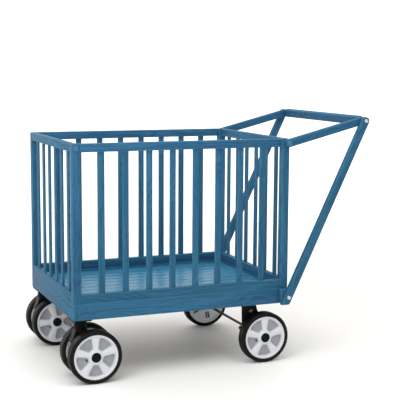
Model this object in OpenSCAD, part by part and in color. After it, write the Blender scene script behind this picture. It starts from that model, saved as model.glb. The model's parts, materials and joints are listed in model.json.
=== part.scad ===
// Wooden slatted trolley: a cot-like cage on a shallow tray, two twin-wheel castors
// in front, two larger fixed wheels behind and a bolted push handle.
// Millimetres. Ground at z = 0, X lengthwise with the handle at +X, Y across.

/* [Cage] */
// Length of the tray and cage over the end boards
body_l = 800; // [720:10:880]
// Width of the tray and cage over the side boards
body_w = 600; // [540:10:680]
// Height of the tray's underside above the ground
tray_z = 216; // [216:1:240]
// Height of the tray's boards
apron_h = 56; // [50:1:70]
// Thickness of the tray's boards and of the rails
board_t = 20; // [18:1:22]
// Side of the square corner posts
post_s = 28; // [26:1:32]
// Height of the corner posts, which stand on the tray's boards
post_h = 541; // [480:5:600]
// Height of the top rails
rail_top_h = 29; // [24:1:34]
// Height of the bottom rails
rail_low_h = 32; // [26:1:38]
// Distance from slat to slat
slat_pitch = 85; // [80:1:95]
// Width of a slat
slat_w = 22; // [16:1:30]
// Thickness of a slat
slat_t = 8; // [6:1:12]

/* [Floor] */
// Number of floorboards side by side
floor_n = 10; // [8:1:12]
// Gap between two floorboards
floor_gap = 2; // [1:0.5:4]
// Thickness of the floorboards
floor_t = 12; // [10:1:14]
// Width of the battens under the floor
batten_w = 70; // [70:1:80]

/* [Handle] */
// Height of the hand grip's centre above the ground
grip_z = 873; // [850:1:900]
// Distance of the hand grip's centre behind the tray
grip_out = 289; // [260:1:320]
// Width of the handle bars
bar_w = 28; // [24:1:32]
// Thickness of the handle bars
bar_t = 20; // [16:1:22]
// Height of the cross bar that is held
grip_h = 32; // [28:1:36]
// Height of the diagonal's level-cut foot above the tray's underside
foot_rise = 1; // [0:1:6]

/* [Wheels] */
// Outer radius of all tyres
wheel_r = 92; // [86:1:92]
// Width of a tyre
wheel_w = 42; // [36:1:44]
// Height of the rubber section
tyre_h = 14; // [11:1:16]
// Radius of the axles
axle_r = 5; // [4:0.5:6]
// Radius of the round hub caps
cap_r = 15.5; // [13:0.5:17]
// Number of spokes
spoke_n = 5; // [3:1:8]

/* [Castors] */
// Distance of the swivel axis behind the tray's front
swivel_x = 34; // [34:1:40]
// Distance of the swivel axis from the tray's side
swivel_y = 40; // [38:1:48]
// Trail of the castor, from swivel axis to wheel axle
trail = 36; // [28:1:38]
// Width over both wheels of a castor
twin_w = 144; // [140:1:150]

/* [Rear wheels] */
// Distance of the rear axle ahead of the tray's rear end
rear_in = 85; // [80:1:92]
// How far the rear tyres stand out from the tray's sides
rear_out = 2; // [0:1:3]

/* [Hidden] */
$fn = 64;
run = 0.05;               // radial clearance of every shaft in its hole
x_lo = swivel_x + trail - wheel_r;
x_hi = body_l + grip_out + bar_w / 2;
x_c = (x_lo + x_hi) / 2;
apron_top = tray_z + apron_h;
cage_top = apron_top + post_h;
slat_z0 = apron_top + rail_low_h;
slat_z1 = cage_top - rail_top_h;
inner_l = body_l - 2 * board_t;
inner_w = body_w - 2 * board_t;
batten_h = 36;
floor_z = tray_z + batten_h;
n_side = round((body_l - post_s) / slat_pitch) - 1;
n_end = round((body_w - post_s) / slat_pitch) - 1;
// handle: upper bolt U, grip bolt G and lower bolt L, each [x, z] from the tray's front
bolt_u = [body_l - 10, cage_top - 16];
bolt_g = [body_l + grip_out, grip_z];
bolt_l = [body_l - 13, tray_z + 27];
upper_len = norm(bolt_g - bolt_u);
upper_a = atan2(bolt_g[1] - bolt_u[1], bolt_g[0] - bolt_u[0]);
diag_len = norm(bolt_g - bolt_l);
diag_a = atan2(bolt_g[1] - bolt_l[1], bolt_g[0] - bolt_l[0]);
// how far the diagonal runs past its lower bolt before its foot is cut level
diag_tail = (bolt_l[1] - tray_z + bar_w / 2) / sin(diag_a);
bolt_r = 4;
spacer_w = 34;
spacer_gap = 2;
// cap screws
button_r = 10;
button_t = 3;
button_shank_r = 3;
button_depth = 20;        // how far its hole goes into the post
// wheels, measured inwards from the tyre's outer side
rim_r = wheel_r - tyre_h;
cap_seat = 8;             // floor of the hub cap's seat
axle_end = 9;             // where the axle stops, behind the cap
hub_len = wheel_w + 1;    // inner end of the hub
hub_r = 21;
ring_r = rim_r - 7;       // inside of the rim's outer ring
web_w0 = 15;              // the disc between hub and ring
web_w1 = 20;
// castors
plate_t = 5;
plate_s = 68;
plate_hole = 26;          // screw offset from the plate's centre
socket_z = 186;           // underside of the fixed socket
head_gap = 0.5;
head_z = 168;             // underside of the swivelling head
stem_r = 8;
screw_r = 2;
screw_depth = 12;
castor_axle_x = swivel_x + trail;
// rear brackets, [x, z] from the tray's front
rear_x = body_l - rear_in;
leg_y = 43;               // outer face of the bracket's leg, from the tray's side
leg_t = 10;
bracket_x0 = rear_x - 74;
bracket_x1 = rear_x - 16;
bracket_in = 60;          // how far the bracket's plate reaches across
rear_batten_x = rear_x - 90;
bracket_sx = [rear_x - 64, rear_x - 26];
bracket_sy = [66, 92];
rivet = [rear_x - 39, wheel_r + 94];
rivet_r = 4;
ear = [bracket_x0 - 1, wheel_r + 31];
ear_r = 7.5;

blue = [0.22, 0.45, 0.62];
floor_blue = [0.30, 0.56, 0.70];
black = [0.05, 0.05, 0.06];
grey = [0.82, 0.83, 0.85];
steel = [0.70, 0.71, 0.73];

// ---- placing ----
// Moves from the tray's front near corner to the part's own frame.
module place() translate([-x_c, -body_w / 2, 0]) children();
// The same piece on the far side.
module far() translate([0, body_w, 0]) mirror([0, 1, 0]) children();
module both() { children(); far() children(); }

// A round hole or shaft along Y from y0 to y1 at [x, z].
module along_y(at, r, y0, y1)
    translate([at[0], y1, at[1]]) rotate([90, 0, 0]) cylinder(r = r, h = y1 - y0);

// A wheel at [x, z] whose outer side is at y, facing -Y, turned by spin.
module wheel_at(x, y, spin)
    translate([x, y, wheel_r]) rotate([-90, 0, 0]) rotate([0, 0, -spin]) children();

// ---- tray ----
module screw_holes(points)
    for (p = points) translate([p[0], p[1], tray_z - 1])
        cylinder(r = screw_r + run, h = screw_depth + 2);

module apron_near() color(blue) place() difference() {
    translate([board_t, 0, tray_z]) cube([inner_l, board_t, apron_h]);
    screw_holes([[swivel_x + plate_hole, swivel_y - plate_hole]]);
}

module apron_far() mirror([0, 1, 0]) apron_near();

module apron_front() color(blue) place() difference() {
    translate([0, 0, tray_z]) cube([board_t, body_w, apron_h]);
    both() screw_holes([for (s = [-1, 1])
        [swivel_x - plate_hole, swivel_y + s * plate_hole]]);
}

module apron_rear() color(blue) place() difference() {
    translate([body_l - board_t, 0, tray_z]) cube([board_t, body_w, apron_h]);
    both() along_y(bolt_l, bolt_r + run, -1, 31);
}

module floor_boards() color(floor_blue) place() {
    step = inner_w / floor_n;
    for (i = [0 : floor_n - 1])
        translate([board_t, board_t + i * step + floor_gap / 2, floor_z])
            cube([inner_l, step - floor_gap, floor_t]);
}

module floor_battens() color(blue) place() difference() {
    for (x = [board_t, (body_l - batten_w) / 2, rear_batten_x])
        translate([x, board_t, tray_z]) cube([batten_w, inner_w, batten_h]);
    both() screw_holes([[swivel_x + plate_hole, swivel_y + plate_hole]]);
    both() screw_holes([for (x = bracket_sx, y = bracket_sy) [x, y]]);
}

// ---- cage ----
module post(x, hole_x) color(blue) place() difference() {
    translate([x, 0, apron_top]) cube([post_s, post_s, post_h]);
    along_y([hole_x, bolt_u[1]], button_shank_r + run, -1, button_depth);
}
module post_front_near() post(0, post_s / 2);
module post_front_far() mirror([0, 1, 0]) post_front_near();
module post_rear_near() post(body_l - post_s, bolt_u[0]);
module post_rear_far() mirror([0, 1, 0]) post_rear_near();

module rail_side(z, h) color(blue) place()
    translate([post_s, 0, z]) cube([body_l - 2 * post_s, board_t, h]);
module rail_end(x, z, h) color(blue) place()
    translate([x, post_s, z]) cube([board_t, body_w - 2 * post_s, h]);

module rail_top_near() rail_side(slat_z1, rail_top_h);
module rail_top_far() mirror([0, 1, 0]) rail_top_near();
module rail_top_front() rail_end(0, slat_z1, rail_top_h);
module rail_top_rear() rail_end(body_l - board_t, slat_z1, rail_top_h);
module rails_low_side() {
    rail_side(apron_top, rail_low_h);
    mirror([0, 1, 0]) rail_side(apron_top, rail_low_h);
}
module rails_low_end()
    for (x = [0, body_l - board_t]) rail_end(x, apron_top, rail_low_h);

function row(n, middle) = [for (i = [0 : n - 1]) middle + (i - (n - 1) / 2) * slat_pitch];

module slats_near() color(blue) place()
    for (x = row(n_side, body_l / 2))
        translate([x - slat_w / 2, (board_t - slat_t) / 2, slat_z0])
            cube([slat_w, slat_t, slat_z1 - slat_z0]);
module slats_far() mirror([0, 1, 0]) slats_near();

module slats_end(x) color(blue) place()
    for (y = row(n_end, body_w / 2))
        translate([x - slat_t / 2, y - slat_w / 2, slat_z0])
            cube([slat_t, slat_w, slat_z1 - slat_z0]);
module slats_front() slats_end(board_t / 2);
module slats_rear() slats_end(body_l - board_t / 2);

// A button-headed screw whose head lies on the face at y and whose shank runs inwards.
module button_screw(at, y, depth) {
    translate([at[0], y, at[1]]) rotate([90, 0, 0])
        rotate_extrude() polygon([[0, 0], [button_r, 0], [button_r - 0.6, 1.6],
            [button_r - 2, button_t], [0, button_t]]);
    along_y(at, button_shank_r, y, y + depth);
}

module button_screws() color(blue) place() both() {
    button_screw([post_s / 2, bolt_u[1]], 0, button_depth - 1);
    button_screw(bolt_u, -bar_t, bar_t + button_depth - 1);
}

// ---- handle ----
// A bar in the XZ plane from bolt to bolt, round at its far end and, unless it has a
// square tail, at its near end too.
module bar(from, angle, len, tail) translate([from[0], 0, from[1]]) rotate([0, -angle, 0]) {
    translate([tail > 0 ? -tail : 0, 0, -bar_w / 2])
        cube([len + max(tail, 0), bar_t, bar_w]);
    along_y([len, 0], bar_w / 2, 0, bar_t);
    if (tail <= 0) along_y([0, 0], bar_w / 2, 0, bar_t);
}

module handle_upper_near() color(blue) place() difference() {
    translate([0, -bar_t, 0]) bar(bolt_u, upper_a, upper_len, 0);
    along_y(bolt_u, button_shank_r + run, -bar_t - 1, 1);
    along_y(bolt_g, bolt_r + run, -bar_t - 1, 1);
}
module handle_upper_far() mirror([0, 1, 0]) handle_upper_near();

module handle_diag_near() color(blue) place() difference() {
    translate([0, -2 * bar_t, 0]) bar(bolt_l, diag_a, diag_len, diag_tail);
    translate([bolt_l[0] - 80, -2 * bar_t - 1, tray_z + foot_rise - 60]) cube([160, bar_t + 2, 60]);
    along_y(bolt_l, bolt_r + run, -2 * bar_t - 1, -bar_t + 1);
    along_y(bolt_g, bolt_r + run, -2 * bar_t - 1, -bar_t + 1);
}
module handle_diag_far() mirror([0, 1, 0]) handle_diag_near();

module handle_grip() color(blue) place() difference() {
    translate([bolt_g[0], 0, bolt_g[1]]) rotate([0, -upper_a, 0])
        translate([-board_t / 2, 0, -grip_h / 2]) cube([board_t, body_w, grip_h]);
    both() along_y(bolt_g, bolt_r + run, -1, 41);
}

module handle_spacers() color(blue) place() both() difference() {
    translate([body_l - spacer_w, -bar_t, tray_z + spacer_gap])
        cube([spacer_w, bar_t, apron_h - 2 * spacer_gap]);
    along_y(bolt_l, bolt_r + run, -bar_t - 1, 1);
}

// A dome-headed bolt, its head on the face at y.
module dome_bolt(at, y, depth) {
    intersection() {
        translate([at[0], y + 3, at[1]]) sphere(r = 8);
        along_y(at, 9, y - 6, y);
    }
    along_y(at, bolt_r, y - 1, y + depth);
}

module handle_bolts() color(steel) place() both() {
    dome_bolt(bolt_g, -2 * bar_t, 2 * bar_t + 40);
    dome_bolt(bolt_l, -2 * bar_t, 2 * bar_t + 30);
}

// ---- plates and screws ----
module plate_screw(x, y) translate([x, y, tray_z - plate_t]) {
    translate([0, 0, -2.5]) cylinder(r1 = 3.2, r2 = 4.5, h = 2.5);
    translate([0, 0, -0.5]) cylinder(r = screw_r, h = plate_t + screw_depth);
}

module plate_screws() color(steel) place() both() {
    for (sx = [-1, 1], sy = [-1, 1])
        plate_screw(swivel_x + sx * plate_hole, swivel_y + sy * plate_hole);
    for (x = bracket_sx, y = bracket_sy) plate_screw(x, y);
}

// ---- castors ----
module castor_socket_near() color(black) place() translate([swivel_x, swivel_y, 0])
difference() {
    union() {
        translate([-plate_s / 2, -plate_s / 2, tray_z - plate_t])
            cube([plate_s, plate_s, plate_t]);
        translate([0, 0, socket_z]) cylinder(r = 21, h = tray_z - plate_t - socket_z + 1);
        for (z = [socket_z : 6 : tray_z - plate_t - 4])
            translate([0, 0, z]) cylinder(r = 23, h = 3);
    }
    translate([0, 0, socket_z - 1])
        cylinder(r = stem_r + run, h = tray_z - plate_t - socket_z + 1);
    for (sx = [-1, 1], sy = [-1, 1])
        translate([sx * plate_hole, sy * plate_hole, tray_z - plate_t - 1])
            cylinder(r = screw_r + run, h = plate_t + 2);
}
module castor_socket_far() mirror([0, 1, 0]) castor_socket_near();

fork_half = 20;
boss_half = twin_w / 2 - hub_len - 1;

module castor_fork_near() color(black) place() translate([swivel_x, swivel_y, 0])
difference() {
    union() {
        translate([0, 0, socket_z - head_gap - 1]) cylinder(r = stem_r, h = 24);
        translate([0, 0, head_z - 2]) cylinder(r = 20, h = socket_z - head_gap - head_z + 2);
        for (z = [head_z, head_z + 7, head_z + 14])
            translate([0, 0, z]) cylinder(r = 22, h = 3);
        rotate([90, 0, 0]) translate([0, 0, -fork_half]) linear_extrude(2 * fork_half)
            polygon([[-22, head_z + 3], [22, head_z + 3], [trail + 15, wheel_r + 12],
                [trail + 12, wheel_r - 12], [trail - 10, wheel_r - 14], [-30, 128],
                [-38, 140], [-34, 152]]);
        along_y([trail, wheel_r], 15, -boss_half, boss_half);
    }
    along_y([trail, wheel_r], axle_r + run, -boss_half - 1, boss_half + 1);
}
module castor_fork_far() mirror([0, 1, 0]) castor_fork_near();

module castor_axle_near() color(steel) place()
    along_y([castor_axle_x, wheel_r], axle_r,
        swivel_y - twin_w / 2 + axle_end, swivel_y + twin_w / 2 - axle_end);
module castor_axle_far() mirror([0, 1, 0]) castor_axle_near();

// ---- wheels: local axis Z runs inwards from the tyre's outer side ----
module tyre_shape() color(black) rotate_extrude() polygon([
    [rim_r + run, 1.5], [rim_r + 6, 0], [wheel_r - 3.5, 1], [wheel_r - 1, 4],
    [wheel_r, 9], [wheel_r, wheel_w - 9], [wheel_r - 1, wheel_w - 4],
    [wheel_r - 3.5, wheel_w - 1], [rim_r + 6, wheel_w], [rim_r + run, wheel_w - 1.5]]);

module rim_shape() color(grey) difference() {
    union() {
        rotate_extrude() polygon([
            [0, 2.5], [hub_r - 2, 2.5], [hub_r, 4.5], [hub_r, web_w0], [ring_r, web_w0],
            [ring_r, 2.5], [rim_r, 2.5], [rim_r, wheel_w - 2.5], [ring_r, wheel_w - 2.5],
            [ring_r, web_w1], [hub_r, web_w1], [hub_r - 3, hub_len], [0, hub_len]]);
        for (i = [0 : spoke_n - 1]) rotate(i * 360 / spoke_n - 90) {
            translate([0, 0, 6]) linear_extrude(web_w0 - 5)
                polygon([[hub_r - 3, -9], [ring_r + 2, -14], [ring_r + 2, 14], [hub_r - 3, 9]]);
            translate([hub_r - 4, -2, web_w1 - 1]) cube([ring_r - hub_r + 7, 4, 14]);
        }
    }
    translate([0, 0, -1]) cylinder(r = axle_r + run, h = hub_len + 2);
    translate([0, 0, -1]) cylinder(r = cap_r + run, h = cap_seat + 1);
}

module cap_shape() color(black) rotate_extrude() polygon([
    [0, 0.5], [cap_r - 4, 0.5], [cap_r, 2.2], [cap_r, cap_seat], [0, cap_seat]]);

// Front wheels: a and b on the near castor, c and d on the far one.
twin_spin = [0, 30, 18, -20];
module front_a() place() wheel_at(castor_axle_x, swivel_y - twin_w / 2, twin_spin[0]) children();
module front_b() place() translate([0, 2 * swivel_y, 0]) mirror([0, 1, 0])
    wheel_at(castor_axle_x, swivel_y - twin_w / 2, twin_spin[1]) children();
module front_c() place() translate([0, body_w - 2 * swivel_y, 0])
    wheel_at(castor_axle_x, swivel_y - twin_w / 2, twin_spin[2]) children();
module front_d() place() far()
    wheel_at(castor_axle_x, swivel_y - twin_w / 2, twin_spin[3]) children();

module tyre_front_a() front_a() tyre_shape();
module tyre_front_b() front_b() tyre_shape();
module tyre_front_c() front_c() tyre_shape();
module tyre_front_d() front_d() tyre_shape();
module rim_front_a() front_a() rim_shape();
module rim_front_b() front_b() rim_shape();
module rim_front_c() front_c() rim_shape();
module rim_front_d() front_d() rim_shape();

// ---- rear axle ----
module bracket_near() color(black) place() difference() {
    union() {
        translate([bracket_x0, leg_y, tray_z - plate_t])
            cube([bracket_x1 - bracket_x0, bracket_in, plate_t]);
        translate([0, leg_y + leg_t, 0]) rotate([90, 0, 0]) linear_extrude(leg_t)
            polygon([[bracket_x0, tray_z - plate_t / 2], [bracket_x1 - 5, tray_z - plate_t / 2],
                [bracket_x1 + 5, rivet[1]], [rear_x + 20, wheel_r + 10], [rear_x, wheel_r - 5],
                [rear_x - 16, wheel_r - 16], [bracket_x0 + 12, ear[1] - 14], [bracket_x0 + 2, ear[1]]]);
        along_y([rear_x, wheel_r], 21, leg_y, leg_y + leg_t);
        along_y([rear_x, wheel_r], 12, leg_y, leg_y + leg_t + 14);
        along_y(ear, ear_r, leg_y, leg_y + leg_t + 4);
    }
    along_y([rear_x, wheel_r], axle_r + run, leg_y - 1, leg_y + leg_t + 15);
    along_y(rivet, rivet_r + run, leg_y - 1, leg_y + leg_t + 1);
    for (x = bracket_sx, y = bracket_sy) translate([x, y, tray_z - plate_t - 1])
        cylinder(r = screw_r + run, h = plate_t + 2);
}
module bracket_far() mirror([0, 1, 0]) bracket_near();

module rear_axle() color(steel) place()
    along_y([rear_x, wheel_r], axle_r, axle_end - rear_out, body_w + rear_out - axle_end);

module rear_near() place() wheel_at(rear_x, -rear_out, 0) children();
module rear_far() place() far() wheel_at(rear_x, -rear_out, 25) children();
module tyre_rear_near() rear_near() tyre_shape();
module tyre_rear_far() rear_far() tyre_shape();
module rim_rear_near() rear_near() rim_shape();
module rim_rear_far() rear_far() rim_shape();
module cap_rear_near() rear_near() cap_shape();
module cap_rear_far() rear_far() cap_shape();
module cap_front_a() front_a() cap_shape();
module cap_front_b() front_b() cap_shape();
module cap_front_c() front_c() cap_shape();
module cap_front_d() front_d() cap_shape();

// ---- rivets through the brackets ----
module bracket_rivets() color(steel) place() both() {
    intersection() {
        translate([rivet[0], leg_y + 3, rivet[1]]) sphere(r = 8);
        along_y(rivet, 9, leg_y - 6, leg_y);
    }
    along_y(rivet, rivet_r, leg_y - 1, leg_y + leg_t + 1);
    along_y(rivet, rivet_r + 3, leg_y + leg_t, leg_y + leg_t + 3);
}

// ---- drawing ----
apron_near();
apron_far();
apron_front();
apron_rear();
floor_boards();
floor_battens();
post_front_near();
post_front_far();
post_rear_near();
post_rear_far();
rail_top_near();
rail_top_far();
rail_top_front();
rail_top_rear();
rails_low_side();
rails_low_end();
slats_near();
slats_far();
slats_front();
slats_rear();
button_screws();
handle_upper_near();
handle_upper_far();
handle_diag_near();
handle_diag_far();
handle_grip();
handle_spacers();
handle_bolts();
plate_screws();
castor_socket_near();
castor_socket_far();
castor_fork_near();
castor_fork_far();
castor_axle_near();
castor_axle_far();
tyre_front_a();
tyre_front_b();
tyre_front_c();
tyre_front_d();
rim_front_a();
rim_front_b();
rim_front_c();
rim_front_d();
cap_front_a();
cap_front_b();
cap_front_c();
cap_front_d();
bracket_near();
bracket_far();
rear_axle();
tyre_rear_near();
tyre_rear_far();
rim_rear_near();
rim_rear_far();
cap_rear_near();
cap_rear_far();
bracket_rivets();
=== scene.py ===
"""Looks of a painted wooden slatted trolley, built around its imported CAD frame.

Boards, posts and bars are softened timbers with a painted grain. Slats, floorboards, screws
and tread blocks come from geometry node trees. Wheels are turned, and the castor and bracket
parts are moulded. Places come from the frame, and every length is in metres.
"""

import json
import logging
import math
from collections.abc import Callable, Iterable, Sequence
from dataclasses import dataclass, field
from enum import Enum

import bmesh
import bpy
import numpy as np
from mathutils import Matrix, Vector


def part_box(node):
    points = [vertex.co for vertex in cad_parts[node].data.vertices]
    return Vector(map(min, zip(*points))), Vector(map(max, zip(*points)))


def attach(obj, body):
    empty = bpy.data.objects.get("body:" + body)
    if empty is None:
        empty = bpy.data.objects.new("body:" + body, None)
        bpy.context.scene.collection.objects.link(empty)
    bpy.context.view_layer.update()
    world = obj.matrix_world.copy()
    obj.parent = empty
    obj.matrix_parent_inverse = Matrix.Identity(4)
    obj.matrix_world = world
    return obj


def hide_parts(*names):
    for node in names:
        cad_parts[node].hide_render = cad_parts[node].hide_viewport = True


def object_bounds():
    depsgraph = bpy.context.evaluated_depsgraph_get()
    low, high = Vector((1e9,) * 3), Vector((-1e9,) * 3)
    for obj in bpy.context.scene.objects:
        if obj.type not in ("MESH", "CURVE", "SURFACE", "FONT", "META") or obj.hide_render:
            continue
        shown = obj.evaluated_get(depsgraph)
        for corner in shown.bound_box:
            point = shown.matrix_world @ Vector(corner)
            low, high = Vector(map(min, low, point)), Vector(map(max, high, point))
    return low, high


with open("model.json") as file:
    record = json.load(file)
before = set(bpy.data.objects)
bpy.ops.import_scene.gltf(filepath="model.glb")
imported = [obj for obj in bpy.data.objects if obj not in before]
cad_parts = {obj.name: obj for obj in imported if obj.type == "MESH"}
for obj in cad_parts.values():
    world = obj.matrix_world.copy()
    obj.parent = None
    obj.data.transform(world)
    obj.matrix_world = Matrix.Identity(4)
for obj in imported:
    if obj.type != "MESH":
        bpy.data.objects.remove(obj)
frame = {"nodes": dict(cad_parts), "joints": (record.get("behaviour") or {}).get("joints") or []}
CAD_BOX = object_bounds()
PIVOTS = {joint["name"]: Vector(joint["pos_m"]) for joint in frame["joints"]}

LOG = logging.getLogger("trolley")
MM = 0.001
TROLLEY = "trolley"
X, Y, Z = Vector((1, 0, 0)), Vector((0, 1, 0)), Vector((0, 0, 1))

Colour = tuple[float, float, float]
Outline = Sequence[tuple[float, float]]


class Side(Enum):
    """Which way something faces across the trolley."""

    NEAR = -1
    FAR = 1

    @property
    def word(self) -> str:
        """Its name in the nodes' names."""
        return self.name.lower()


class Slot(Enum):
    """The record's material slots."""

    WOOD = "blue_wood"
    FLOOR = "floor_paint"
    SCREW = "painted_screw"
    TYRE = "tyre"
    RIM = "rim"
    BLACK = "black_plastic"
    STEEL = "steel"


# ---------------------------------------------------------------- shader graphs


class Graph:
    """A material's node tree around one Principled shader, with short calls to fill it."""

    def __init__(self, name: str) -> None:
        """Starts an empty material.

        Args:
            name: The material's name.
        """
        self.material = bpy.data.materials.new(name)
        self.material.use_nodes = True
        self.tree = self.material.node_tree
        self.tree.nodes.clear()
        self.shader = self.node("ShaderNodeBsdfPrincipled")
        out = self.node("ShaderNodeOutputMaterial")
        self.put(out.inputs["Surface"], self.shader.outputs["BSDF"])

    def node(self, kind: str, inputs: dict | None = None, **settings: object) -> bpy.types.Node:
        """Adds a node.

        Args:
            kind: The node's type name.
            inputs: Values or sockets for its inputs, by name or number.
            settings: Values for its own properties.

        Returns:
            The new node.
        """
        made = self.tree.nodes.new(kind)
        for key, value in settings.items():
            setattr(made, key, value)
        for key, value in (inputs or {}).items():
            self.put(made.inputs[key], value)
        return made

    def put(self, socket: bpy.types.NodeSocket, value: object) -> None:
        """Links a socket, or sets its value when what it is given is not a socket."""
        if isinstance(value, bpy.types.NodeSocket):
            self.tree.links.new(value, socket)
        else:
            socket.default_value = value

    def attribute(self, name: str, output: str = "Vector") -> bpy.types.NodeSocket:
        """Returns a mesh attribute's socket."""
        return self.node("ShaderNodeAttribute", attribute_name=name).outputs[output]

    def object_place(self) -> bpy.types.NodeSocket:
        """Returns the Object coordinates."""
        return self.node("ShaderNodeTexCoord").outputs["Object"]

    def math(self, operation: str, first: object, second: object = 0.0,
             clamp: bool = False) -> bpy.types.NodeSocket:
        """Returns the result of a Math node."""
        made = self.node("ShaderNodeMath", {0: first, 1: second},
                         operation=operation, use_clamp=clamp)
        return made.outputs[0]

    def vector(self, operation: str, first: object, second: object) -> bpy.types.NodeSocket:
        """Returns the vector result of a Vector Math node."""
        made = self.node("ShaderNodeVectorMath", {0: first, 1: second}, operation=operation)
        return made.outputs["Vector"]

    def parts(self, vector: bpy.types.NodeSocket) -> bpy.types.NodeOutputs:
        """Returns a vector's three parts."""
        return self.node("ShaderNodeSeparateXYZ", {0: vector}).outputs

    def noise(self, place: bpy.types.NodeSocket, scale: float, detail: float = 3.0,
              roughness: float = 0.5, distortion: float = 0.0) -> bpy.types.NodeSocket:
        """Returns a noise pattern from 0 to 1."""
        made = self.node("ShaderNodeTexNoise", {
            "Vector": place, "Scale": scale, "Detail": detail,
            "Roughness": roughness, "Distortion": distortion})
        return made.outputs[0]

    def spread(self, value: object, low: float, high: float, to_low: float = 0.0,
               to_high: float = 1.0) -> bpy.types.NodeSocket:
        """Returns a value carried smoothly from one range to another, and kept inside it."""
        made = self.node("ShaderNodeMapRange", {
            "Value": value, "From Min": low, "From Max": high,
            "To Min": to_low, "To Max": to_high}, interpolation_type="SMOOTHSTEP")
        return made.outputs["Result"]

    def mix(self, share: object, first: object, second: object,
            blend: str = "MIX") -> bpy.types.NodeSocket:
        """Returns two colours mixed by a share."""
        made = self.node("ShaderNodeMix", data_type="RGBA", blend_type=blend)
        for number, value in ((0, share), (6, first), (7, second)):
            value = (*value, 1.0) if isinstance(value, tuple) and len(value) == 3 else value
            self.put(made.inputs[number], value)
        return made.outputs[2]

    def bump(self, height: bpy.types.NodeSocket, distance: float,
             strength: float = 1.0) -> bpy.types.NodeSocket:
        """Returns a normal bumped by a height pattern, whose range is distance."""
        made = self.node("ShaderNodeBump", {
            "Height": height, "Distance": distance, "Strength": strength})
        return made.outputs["Normal"]

    def finish(self, colour: object, roughness: object,
               normal: bpy.types.NodeSocket | None = None,
               **fixed: float) -> bpy.types.Material:
        """Joins the patterns to the shader.

        Args:
            colour: Base colour or its pattern.
            roughness: Roughness or its pattern.
            normal: Bumped normal, if any.
            fixed: Even values set straight on the shader's sockets, by name with _ for a space.

        Returns:
            The finished material.
        """
        self.put(self.shader.inputs["Base Color"], colour)
        self.put(self.shader.inputs["Roughness"], roughness)
        if normal is not None:
            self.put(self.shader.inputs["Normal"], normal)
        for key, value in fixed.items():
            self.shader.inputs[key.replace("_", " ")].default_value = value
        return self.material


# ---------------------------------------------------------------- finishes


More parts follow.
